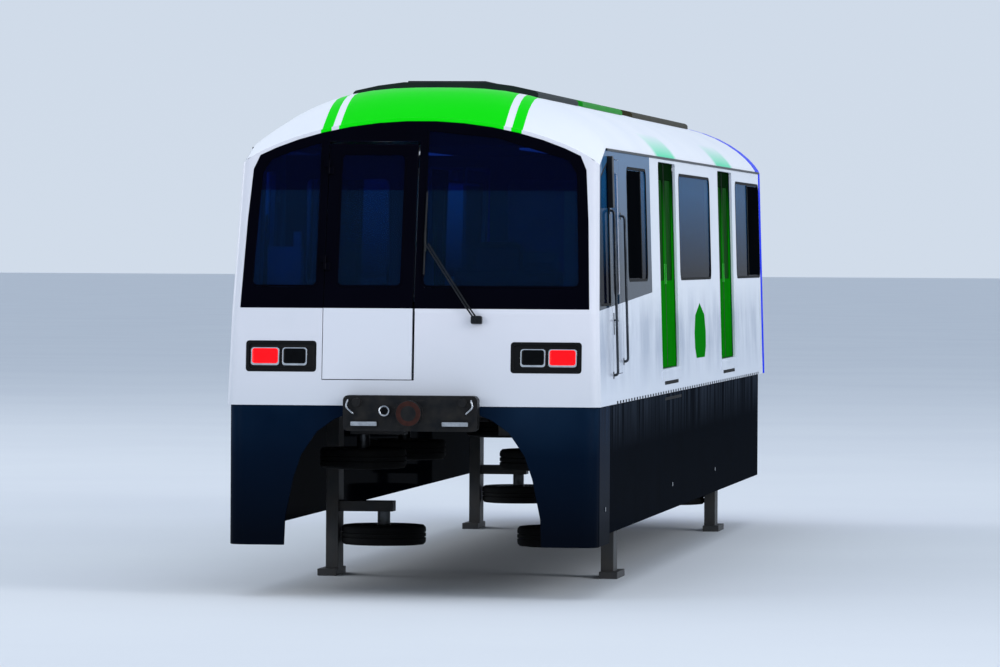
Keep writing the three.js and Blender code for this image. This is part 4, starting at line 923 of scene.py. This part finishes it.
# Housings: where the first lid starts behind the face, and how many lids each has
LID_ROWS = (("fore", 1.98, 3), ("middle", 5.32, 3), ("aft", 9.55, 5))
for place, first, count in LID_ROWS:
    low = (-LID_HALF, FACE + first, EQUIPMENT_TOP - 0.002)
    lid = slab("lid", low, (LID_HALF, FACE + first + LID_LENGTH, EQUIPMENT_TOP + LID_HEIGHT), 0.03, "Z")
    sunk(lid, lambda middle, normal: normal.z > 0.9, (0.035, 0), (0.004, -0.008))
    slat_low = (-LID_HALF + 0.045, FACE + first + 0.050, EQUIPMENT_TOP + 0.001)
    slat_high = (LID_HALF - 0.045, FACE + first + 0.068, EQUIPMENT_TOP + 0.0105)
    slats = row(ease(slab("slat", slat_low, slat_high), 0.002, 1), "slats", SLAT_COUNT, (0, SLAT_PITCH, 0))
    whole = merged("lid", [ease(lid, 0.002), slats])
    lids = row(whole, f"roof_lids_{place}", count, (0, LID_PITCH, 0))
    fit(lids, gear_paint)
HOOP = [(FAN_RADIUS, -0.002), (FAN_RADIUS, 0.016), (FAN_RADIUS - 0.018, 0.016), (FAN_RADIUS - 0.018, -0.002)]
HOOP += HOOP[:1]
HUB = [(0.0, 0.018), (0.045, 0.018), (0.055, 0.010), (0.055, -0.002), (0.0, -0.002)]
for place, centre_y in (("fore", FACE + 4.62), ("middle", FACE + 8.28), ("aft", FACE + 14.68)):
    centre = (0, centre_y, EQUIPMENT_TOP)
    hoop = spun("hoop", HOOP, centre, "Z", 40)
    hub = spun("hub", HUB, centre, "Z", 24)
    near, far = Vector((0.05, -0.004, 0.006)), Vector((FAN_RADIUS - 0.01, 0.004, 0.014))
    spoke = slab("spoke", Vector(centre) + near, Vector(centre) + far)
    spokes = around(spoke, "spokes", SPOKE_COUNT, centre, "Z")
    fit(merged(f"fan_grille_{place}", [hoop, hub, spokes]), chassis_paint)

# Doors: each leaf is a bonded aluminium sandwich in green with a tall window, a recessed pull and a
# rubber nosing, and slides in a pocket of the wall.
# Green gloss that darkens towards the top, where the roof shades it.
leaf_paint = finish("green_gloss_leaves", "047A04", "047004", 0.3, peel=(5, 0.02), specular=0.0, coat=0.006)
faded(leaf_paint, "Z", 2.9, 3.45, "021E04")
# Moulded green grip, paler than the leaf.
pull_green = finish("moulded_green_grip", "12D616", "0EC812", 0.35, mottle=40, peel=(2, 0.02), specular=0.2)
# Glass with a green film, darker than the leaf.
green_glass = finish("green_filmed_glass", "054205", "043A04", 0.06, specular=0.0, coat=0.03)
LEAF_DEPTH, LEAF_THICKNESS = 0.034, 0.035
LEAF_BACK = LEAF_DEPTH + LEAF_THICKNESS
PANE_CORNER = 0.048
# Pieces of a leaf: from where to where off the doorway's middle, from which height to which
LEAF_GLASS, LEAF_GLASS_HEIGHTS = (0.111, 0.639), (2.551, 3.449)
NOSING, NOSING_HEIGHTS = (0.0012, 0.018), (1.782, 3.608)
PULL, PULL_HEIGHTS = (0.045, 0.085), (2.52, 2.70)
STEP_HALF, STEP_HEIGHTS = 0.87, (1.672, 1.752)
STEP_SLOT_HALF, STEP_SLOT_HEIGHTS = 0.62, (1.628, 1.660)
for side, hand in SIDES:
    for door, centre in DOOR_CENTRES.items():
        for way, word in WAYS:
            body = f"door_{door}_{hand}_{word}"
            dress(body, leaf_paint, 0.003)
            glass_at, nosing_at, pull_at = (
                [centre + way * distance for distance in ends] for ends in (LEAF_GLASS, NOSING, PULL)
            )
            depths = (LEAF_DEPTH + 0.018, -LEAF_DEPTH - 0.006)
            pane = on_wall(f"{body}_glass", side, glass_at, LEAF_GLASS_HEIGHTS, *depths, PANE_CORNER)
            fit(ease(pane, 0.001, 1), green_glass, body)
            depths = (LEAF_BACK - 0.004, 0.001 - LEAF_DEPTH)
            nose = on_wall(f"{body}_nosing", side, nosing_at, NOSING_HEIGHTS, *depths)
            fit(ease(nose, 0.0015, 1), rubber, body)
            depths = (LEAF_DEPTH + 0.002, 0.0012 - LEAF_DEPTH)
            pull = on_wall(f"{body}_pull", side, pull_at, PULL_HEIGHTS, *depths, 0.018)
            sunk(pull, lambda middle, normal: normal.x * side > 0.9, (0.006, 0), (0.003, -0.002))
            fit(ease(pull, 0.0008, 1), pull_green, body)
        ends = (centre - STEP_HALF, centre + STEP_HALF)
        ledge = on_wall(f"door_step_{door}_{hand}", side, ends, STEP_HEIGHTS, 0.03, 0.004, 0.012)
        fit(ease(ledge, 0.003), side_paint)
        ends = (centre - STEP_SLOT_HALF, centre + STEP_SLOT_HALF)
        step_slot = on_wall(f"step_slot_{door}_{hand}", side, ends, STEP_SLOT_HEIGHTS, 0.02, 0.0015, 0.010)
        fit(ease(step_slot, 0.001, 1), rubber)

# Cab doors: painted and filmed like the wall they close, with a fixed glass and a lever handle.
CAB_GLASS, CAB_GLASS_HEIGHTS = (FACE + 1.251, FACE + 1.749), (2.451, 3.449)
LOCK, LOCK_HEIGHTS = (FACE + 1.19, FACE + 1.235), (2.12, 2.30)
LEVER_Y, LEVER_Z, LEVER_OUT, LEVER_RUN, LEVER_DROP = FACE + 1.212, 2.24, 0.026, 0.108, 0.005
for side, hand in SIDES:
    body = f"cab_door_{hand}"
    film("dark_band", body, side, (BAND_FOOT,), dark_film, body)
    dress(body, side_paint, 0.003)
    pane = on_wall(f"{body}_glass", side, CAB_GLASS, CAB_GLASS_HEIGHTS, 0.022, -0.008, PANE_CORNER)
    fit(ease(pane, 0.001, 1), glass, body)
    plate = on_wall(f"{body}_lock", side, LOCK, LOCK_HEIGHTS, 0.001, 0.004, 0.010)
    root, elbow = (off_wall(side, distance, LEVER_Y, LEVER_Z) for distance in (-0.002, LEVER_OUT))
    lever_end = (elbow[0], LEVER_Y + LEVER_RUN, LEVER_Z - LEVER_DROP)
    lever = tube("lever", curved([root, elbow, lever_end], 0.012), 0.007)
    fit(merged(f"{body}_handle", [ease(plate, 0.0015, 1), lever]), rail_metal, body)

# Gangway end: the end wall with its frame and the blue fairing that rings the end. Rubber pleats stand
# round the frame, and a brushed door slides across behind it.
end_paint = finish("white_gloss_end", WHITE, WHITE_SHADE, 0.2, specular=0.4, **two_pack)
tree, x, y, z = axes(end_paint)
doorway = combined(tree, "MULTIPLY", inside(tree, x, -0.6, 0.6), inside(tree, z, 1.65, 3.70))
overpaint(end_paint, combined(tree, "SUBTRACT", inside(tree, y, 7.86, 7.947), doorway), BLUE)
dress("rear_end_wall", end_paint, 0.003)
# Blue gloss, the same two-pack paint.
blue_paint = finish("blue_gloss_fairing", BLUE, "052CE4", 0.25, mottle=500, peel=(6, 0.02), specular=0.2)
dress("end_fairing", blue_paint, 0.004)
FRAME_HALF, FRAME_FOOT, FRAME_TOP = 0.48, 1.69, 3.64
PLEAT_RADIUS, PLEAT_PITCH, FIRST_PLEAT, PLEAT_COUNT = 0.020, 0.052, 7.985, 4
pleats = []
for number in range(PLEAT_COUNT):
    place = FIRST_PLEAT + number * PLEAT_PITCH
    half, foot, top = FRAME_HALF + PLEAT_RADIUS, FRAME_FOOT - PLEAT_RADIUS, FRAME_TOP + PLEAT_RADIUS
    ring = [(0, foot), (half, foot), (half, top), (-half, top), (-half, foot), (0, foot)]
    path = curved([(across, place, height) for across, height in ring], 0.05)
    pleats.append(tube("pleat", path, PLEAT_RADIUS))
fit(merged("gangway_pleats", pleats), rubber)
# Brushed aluminium, its fine scratches running up the door.
brushed = finish("brushed_aluminium", "B9BDC2", "A6ABB1", 0.35, 1.0, mottle=200, peel=(2, 0.02))
tree = brushed.node_tree
scratches = noise(tree, on_object(tree), 1600, 3, (1, 1, 0.01))
tree.links.new(scratches, tree.nodes["Bump"].inputs["Height"])
dress("gangway_door", brushed, 0.003)
pane = slab("gangway_door_glass", (-0.249, 7.856, 2.501), (0.249, 7.868, 3.399), PANE_CORNER, "Y")
fit(ease(pane, 0.001, 1), glass, "gangway_door")

# Skirts: glass-fibre panels that hide the bogies, in dark navy gloss, hung from the floor's edge. The side
# panels meet in narrow seams, and turn latches hold them shut.
# Navy gelcoat with faint waves on its face.
gelcoat_wave = {"mottle": 600, "peel": (6, 0.03), "specular": 0.0}
navy = finish("navy_gelcoat_front", "021428", "021024", 0.2, coat=0.06, **gelcoat_wave)
side_navy = finish("navy_gelcoat_sides", "050A12", "04080F", 0.14, peel=(6, 0.02), specular=0.0, coat=0.012)
# Painted shade darkens the front towards its foot, where it gets no light from the sky, and painted
# reflections run down both in streaks from their upper edge.
faded(navy, "Z", 1.40, 0.50, "010611")
for gelcoat, streak_reflection in ((navy, "1A2E44"), (side_navy, "39424F")):
    tree, x, y, z = axes(gelcoat)
    reflection_streaks = combined(tree, "MULTIPLY", remap(tree, z, 1.15, 1.55), streaks(tree, 0.14, 1.2, 0.5))
    overpaint(gelcoat, reflection_streaks, streak_reflection)
dress("skirt_front", navy, 0.004)


def cut(piece, tool):
    """Takes a closed form out of a piece."""
    worked(piece, "BOOLEAN", operation="DIFFERENCE", solver="EXACT", object=tool)
    bpy.data.objects.remove(tool)
    return piece


SKIRT_FACE = 1.500
SEAM, PANEL_WIDTH, PANELS = 0.005, 2.05, 6
PANEL_SEAMS = [FACE + 3.0 + PANEL_WIDTH * number for number in range(PANELS)]
LATCH_HALF_WIDTH, LATCH_HALF_HEIGHT = 0.03, 0.018
LATCHES = ((FACE + 0.60, 0.71), (FACE + 6.2, 0.72), (FACE + 10.4, 0.72))
SLOT_COUNT, SLOT_PITCH = 62, 0.225
for side, hand in SIDES:
    panel = skin(f"skirt_{hand}")
    near, far = (side * (SKIRT_FACE + distance) for distance in (-0.004, 0.01))
    seams = [slab("seam", (near, place, 0.45), (far, place + SEAM, 1.60)) for place in PANEL_SEAMS]
    panel = ease(cut(panel, merged("seams", seams)), 0.003, 1)
    fit(panel, side_navy, "car_body", [f"skirt_{hand}"])
    near, latch_face, vent_face = (side * (SKIRT_FACE + distance) for distance in (-0.001, 0.005, 0.0012))
    latches = []
    for place, height in LATCHES:
        low = (near, place - LATCH_HALF_WIDTH, height - LATCH_HALF_HEIGHT)
        high = (latch_face, place + LATCH_HALF_WIDTH, height + LATCH_HALF_HEIGHT)
        latches.append(ease(slab("latch", low, high, 0.012), 0.002, 1))
    fit(merged(f"skirt_latches_{hand}", latches), rail_metal)
    vent = slab(f"skirt_vent_{hand}", (near, FACE + 5.5, 1.487), (vent_face, FACE + 7.0, 1.513), 0.012)
    fit(ease(vent, 0.0005, 1), rubber)
    dash = on_wall("dash", side, (FACE + 1.30, FACE + 1.39), (1.552, 1.574), 0.001, 0.0014)
    slots = row(ease(dash, 0.0005, 1), f"drain_slots_{hand}", SLOT_COUNT, (0, SLOT_PITCH, 0))
    fit(slots, rubber)

# Couplers: cast steel heads and drawbars. The front box carries a lamp in a bright steel ring, two bent
# handles and a buffing ring in red primer.
# Cast steel, dark with oil.
cast_metal = finish("oiled_cast_steel", "15171A", "2A2826", 0.5, 0.5, mottle=90, peel=(3, 0.2), specular=0.2)
dress("coupler_front", cast_metal, 0.004)
dress("coupler_rear", cast_metal, 0.006)
# Bare bent steel rod, polished by hands.
bright_rod = finish("polished_steel_rod", "B4B8BD", "8E9297", 0.25, 1.0, mottle=60, peel=(2, 0.02))
# Red oxide primer, rubbed and dusty.
primer = finish("red_oxide_primer", "3A201B", "271613", 0.7, mottle=60, peel=(2, 0.08), specular=0.1)
BOX_FRONT = -8.100
# Bends of a handle: across the car, out of the box's front and up
HANDLE = ((0.500, -0.002, 1.600), (0.500, 0.045, 1.600), (0.515, 0.045, 1.545), (0.455, 0.045, 1.490))
HANDLE += ((0.455, -0.002, 1.490),)
# Plates on the bars under the sockets, rubbed bright by boots
TREAD_BACK, TREAD_FACE = BOX_FRONT - 0.039, BOX_FRONT - 0.0415
handles, treads = [], []
for side in (1, -1):
    path = [(side * across, BOX_FRONT - out, height) for across, out, height in HANDLE]
    handles.append(tube("handle", curved(path, 0.018), 0.008))
    tread = slab("tread", (side * 0.264, TREAD_FACE, 1.393), (side * 0.476, TREAD_BACK, 1.427), 0.006, "Y")
    treads.append(ease(tread, 0.0006, 1))
fit(merged("coupler_handles", handles), bright_rod)
fit(merged("coupler_treads", treads), bright_rod)
LAMP_CENTRE = (-0.200, -8.170, 1.515)
lamp_ring = [(0.043, 0.004), (0.043, -0.006), (0.036, -0.009), (0.031, -0.004), (0.031, 0.004)]
lamp_ring += lamp_ring[:1]
fit(spun("coupler_lamp_ring", lamp_ring, LAMP_CENTRE, "Y", 32), bright_rod)
lamp_glass = [(0.0, -0.006), (0.012, -0.0055), (0.024, -0.004), (0.030, -0.001), (0.030, 0.002), (0.0, 0.002)]
fit(spun("coupler_lamp_glass", lamp_glass, LAMP_CENTRE, "Y", 32), dark_lens)
RING_CENTRE = (0, -8.200, 1.495)
buffing_ring = [(0.100, 0.001), (0.100, -0.0006), (0.062, -0.0006), (0.062, 0.001), (0.100, 0.001)]
fit(spun("coupler_buffing_ring", buffing_ring, RING_CENTRE, "Y", 40), primer)

# Cab fittings: a moulded desk with an instrument hood, a locker beside the emergency door, and a partition
# with two panes behind the driver.
# Moulded dark ABS.
desk_plastic = finish("textured_desk_plastic", "23272B", "1B1E22", 0.5, peel=(1.5, 0.06), specular=0.3)
dress("driver_desk", desk_plastic, 0.008)
hood = slab("instrument_hood", (0.30, -7.700, 2.24), (1.16, -7.440, 2.640), 0.10, "X", 6)
fit(ease(hood, 0.006), desk_plastic)
# Display glass with a faint cold glow behind it.
lit = {"Emission_Color": colour("2C66A8"), "Emission_Strength": 0.5}
display = finish("display_glass", "0A1A30", "081526", 0.1, mottle=60, peel=(300, 0.02), specular=0.2, **lit)
screens = [
    ease(slab("screen", (left, -7.442, 2.39), (right, -7.432, 2.56), 0.01, "Y"), 0.002, 1)
    for left, right in ((0.36, 0.62), (0.66, 0.86), (0.90, 1.10))
]
fit(merged("desk_displays", screens), display)
stem = tube("stem", [(0.92, -7.350, 2.20), (0.92, -7.320, 2.36)], 0.009)
knob = start("knob", "uv_sphere", segments=24, ring_count=12, radius=0.026, location=(0.92, -7.318, 2.375))
moved(knob, about((0, 0, 2.375), Matrix.Scale(0.8, 4, (0, 0, 1))))
fit(merged("drive_lever", [stem, ease(knob, 0.001, 1, 60)]), desk_plastic)
# Pale enamelled sheet steel.
locker_paint = finish("pale_locker_enamel", "D2DCE8", "C8D2E0", 0.4, mottle=300, peel=(4, 0.03), specular=0.3)
locker = slab("cab_locker", (-1.240, -7.640, 1.775), (-0.960, -7.505, 2.830), 0.015, "Z")
locker_head = slab("locker_head", (-1.030, -7.620, 2.825), (-0.970, -7.520, 2.950), 0.01, "Z")
fit(merged("cab_locker", [ease(locker, 0.004), ease(locker_head, 0.003)]), locker_paint)
# Melamine-faced board.
partition_board = finish("melamine_board", "8D9398", "858B90", 0.45, mottle=400, peel=(3, 0.02), specular=0.3)
dress("cab_partition", partition_board, 0.004)
# Clear glass in the partition.
clear = {"peel": (300, 0.02), "Transmission_Weight": 0.95}
clear_glass = finish("clear_partition_glass", "C9D2D6", "C2CBD0", 0.02, specular=0.3, **clear)
LIGHT_WIDTH, PARTITION_Y = 0.698, FACE + 2.15
lights = []
for left in (-1.199, 0.501):
    near, far = (left, PARTITION_Y - 0.005, 2.501), (left + LIGHT_WIDTH, PARTITION_Y + 0.005, 3.399)
    lights.append(ease(slab("light", near, far, PANE_CORNER, "Y"), 0.001, 1))
fit(merged("partition_lights", lights), clear_glass)

# Saloon: lining panels under the roof with two rows of light strips, and stainless poles by the doorways.
# Pale laminate with a silk finish.
lining = finish("pale_laminate_lining", "D9DCDE", "CFD3D6", 0.4, mottle=600, peel=(3, 0.02), specular=0.3)
ceiling = slab("ceiling_lining", (-1.28, FACE + 2.20, 3.672), (1.28, 7.78, 3.690), 0.03, "Z")
fit(ease(ceiling, 0.003), lining)
# Opal diffuser over a lit strip.
lit = {"Emission_Color": colour("E8F0FF"), "Emission_Strength": 0.8}
diffuser = finish("opal_diffuser", "E8ECEE", "E2E6EA", 0.5, mottle=300, specular=0.2, **lit)
STRIP_X, STRIP_HALF, STRIP_LENGTH, STRIP_PITCH, STRIP_COUNT = 0.62, 0.06, 1.30, 1.46, 9
FIRST_STRIP, STRIP_HEIGHTS = FACE + 2.40, (3.655, 3.673)
strips = []
for side in (-1, 1):
    low = (side * STRIP_X - STRIP_HALF, FIRST_STRIP, STRIP_HEIGHTS[0])
    high = (side * STRIP_X + STRIP_HALF, FIRST_STRIP + STRIP_LENGTH, STRIP_HEIGHTS[1])
    strip = ease(slab("strip", low, high, 0.02, "Z"), 0.003)
    strips.append(row(strip, "strips", STRIP_COUNT, (0, STRIP_PITCH, 0)))
fit(merged("light_strips", strips), diffuser)
# Polished stainless tube.
pole_metal = finish("polished_stainless_tube", "B8BCC0", "A4A9AE", 0.2, 1.0, mottle=200, peel=(2, 0.01))
POLE_X, POLE_RADIUS = 0.90, 0.016
POLES = (FACE + 5.02, FACE + 7.58, FACE + 10.07, FACE + 12.60)
COLLAR = [(POLE_RADIUS, 0.0), (0.032, 0.0), (0.030, 0.008), (POLE_RADIUS, 0.012), (POLE_RADIUS, 0.0)]
poles = []
for side in (-1, 1):
    for place in POLES:
        stand = (side * POLE_X, place)
        poles.append(tube("pole", [(*stand, 1.772), (*stand, 3.671)], POLE_RADIUS))
        for height in (1.7705, 3.6595):
            poles.append(spun("collar", COLLAR, (*stand, height), "Z", 24))
fit(merged("saloon_poles", poles), pole_metal)

# Seats: foam cushions under woven cloth. The driver's stands on a pedestal, and the passengers' lie in
# trays on the bench shells and against their backs.
# Woven seat cloth over foam.
seat_cloth = finish("woven_seat_cloth", "1E3A5C", "17304F", 0.9, mottle=12, peel=(2, 0.3), specular=0.1)
tree = seat_cloth.node_tree
THREADS_PER_METRE = 400
threads = []
for bands in "XYZ":
    inputs = {"Vector": on_object(tree), "Scale": THREADS_PER_METRE * math.pi / 10}
    threads.append(add(tree, "ShaderNodeTexWave", inputs, bands_direction=bands).outputs["Fac"])
tree.links.new(combined(tree, "MAXIMUM", *threads), tree.nodes["Bump"].inputs["Height"])


def stuffed(name, low, high, voxel, swell):
    """A foam cushion: a rounded block remeshed, blown up as cloth by no more than its swell, and kept flat
    underneath."""
    piece = worked(slab(name, low, high, 0.035, "Z"), "REMESH", mode="VOXEL", voxel_size=voxel)
    before = [corner.co.copy() for corner in piece.data.vertices]
    cloth = piece.modifiers.new("cloth", "CLOTH")
    cloth.settings.use_pressure = True
    cloth.settings.uniform_pressure_force = 4
    cloth.settings.effector_weights.gravity = 0
    for step in range(1, 21):
        bpy.context.scene.frame_set(step)
    bpy.ops.object.modifier_apply(modifier=cloth.name)
    for corner, was in zip(piece.data.vertices, before):
        moved = corner.co - was
        corner.co = was + moved * min(1, swell / max(moved.length, 1e-9))
        corner.co.z = max(corner.co.z, low[2])
    bpy.context.scene.frame_set(1)
    worked(piece, "SUBSURF", levels=1, render_levels=1)
    bpy.ops.object.shade_smooth()
    return piece


def upholster(piece, body="car_body"):
    fit(piece, seat_cloth, body)


SEAT_X = (0.270, 0.690)
SEAT_TILT = math.atan(60 / 620)
pedestal_profile = [(0.0, 1.7705), (0.088, 1.7705), (0.088, 1.782), (0.052, 1.800), (0.048, 2.080)]
pedestal_profile += [(0.080, 2.130), (0.080, 2.152), (0.0, 2.152)]
pedestal = spun("pedestal", pedestal_profile, (0.48, FACE + 1.42, 0), "Z", 32)
pan = slab("pan", (SEAT_X[0], FACE + 1.205, 2.151), (SEAT_X[1], FACE + 1.665, 2.180), 0.05, "Z")
shell = slab("shell", (SEAT_X[0], FACE + 1.640, 2.170), (SEAT_X[1], FACE + 1.665, 2.880), 0.08, "Y")
tilt_back = about((0, FACE + 1.64, 2.17), Matrix.Rotation(-SEAT_TILT / 3, 4, "X"))
moved(shell, tilt_back)
seat_frame = merged("driver_seat_shell", [pedestal, ease(pan, 0.006), ease(shell, 0.006)])
fit(seat_frame, desk_plastic, "car_body", ["driver_seat"])
low, high = (0.275, FACE + 1.215, 2.181), (0.685, FACE + 1.615, 2.250)
upholster(stuffed("driver_seat_cushion", low, high, 0.012, 0.014))
back_pad = stuffed("driver_back_cushion", (0.280, 0, 0), (0.680, 0.560, 0.045), 0.012, 0.014)
# Laid flat for its simulation, the back cushion is turned up against the shell.
stood = Matrix.Translation((0, FACE + 1.638, 2.285)) @ Matrix.Rotation(math.pi / 2, 4, "X")
upholster(moved(back_pad, tilt_back @ stood))

# Benches: name, the back's place across the car, which way the seat faces, where it starts and ends behind
# the face, its number of seats and the height of its back cushions
BENCHES = [
    ("housing_front", 0.550, 1, 2.50, 5.00, 5, 0.48),
    ("housing_rear", 0.550, 1, 12.60, 14.60, 4, 0.48),
    ("window", 1.380, -1, 7.60, 10.05, 5, 0.27),
]
PAD_HALF, PAD_THICKNESS = 0.190, 0.050
master = stuffed("master_pad", (-PAD_HALF, -PAD_HALF, 0), (PAD_HALF, PAD_HALF, PAD_THICKNESS), 0.026, 0.012)
for bench, back, way, first, last, seats, back_height in BENCHES:
    pitch = (last - first) / seats
    widen = Matrix.Scale(pitch * 0.92 / (2 * PAD_HALF), 4, (0, 1, 0))
    for side, hand in SIDES:
        pads = []
        for number in range(seats):
            place = FACE + first + pitch * (number + 0.5)
            seat_middle = (side * (back + way * 0.218), place, BENCH_TOP - CUSHION_SINK + 0.001)
            seat_at = Matrix.Translation(seat_middle)
            pads.append(copied(master, "pad", seat_at @ widen))
            shorter = Matrix.Diagonal((back_height / (2 * PAD_HALF), 1, 0.6, 1))
            lean = Matrix.Rotation(side * way * math.pi / 2, 4, "Y")
            back_at = Matrix.Translation((side * (back + way * 0.001), place, 2.245 + back_height / 2))
            pads.append(copied(master, "pad", back_at @ lean @ widen @ shorter))
        upholster(merged(f"bench_cushions_{bench}_{hand}", pads))
bpy.data.objects.remove(master)
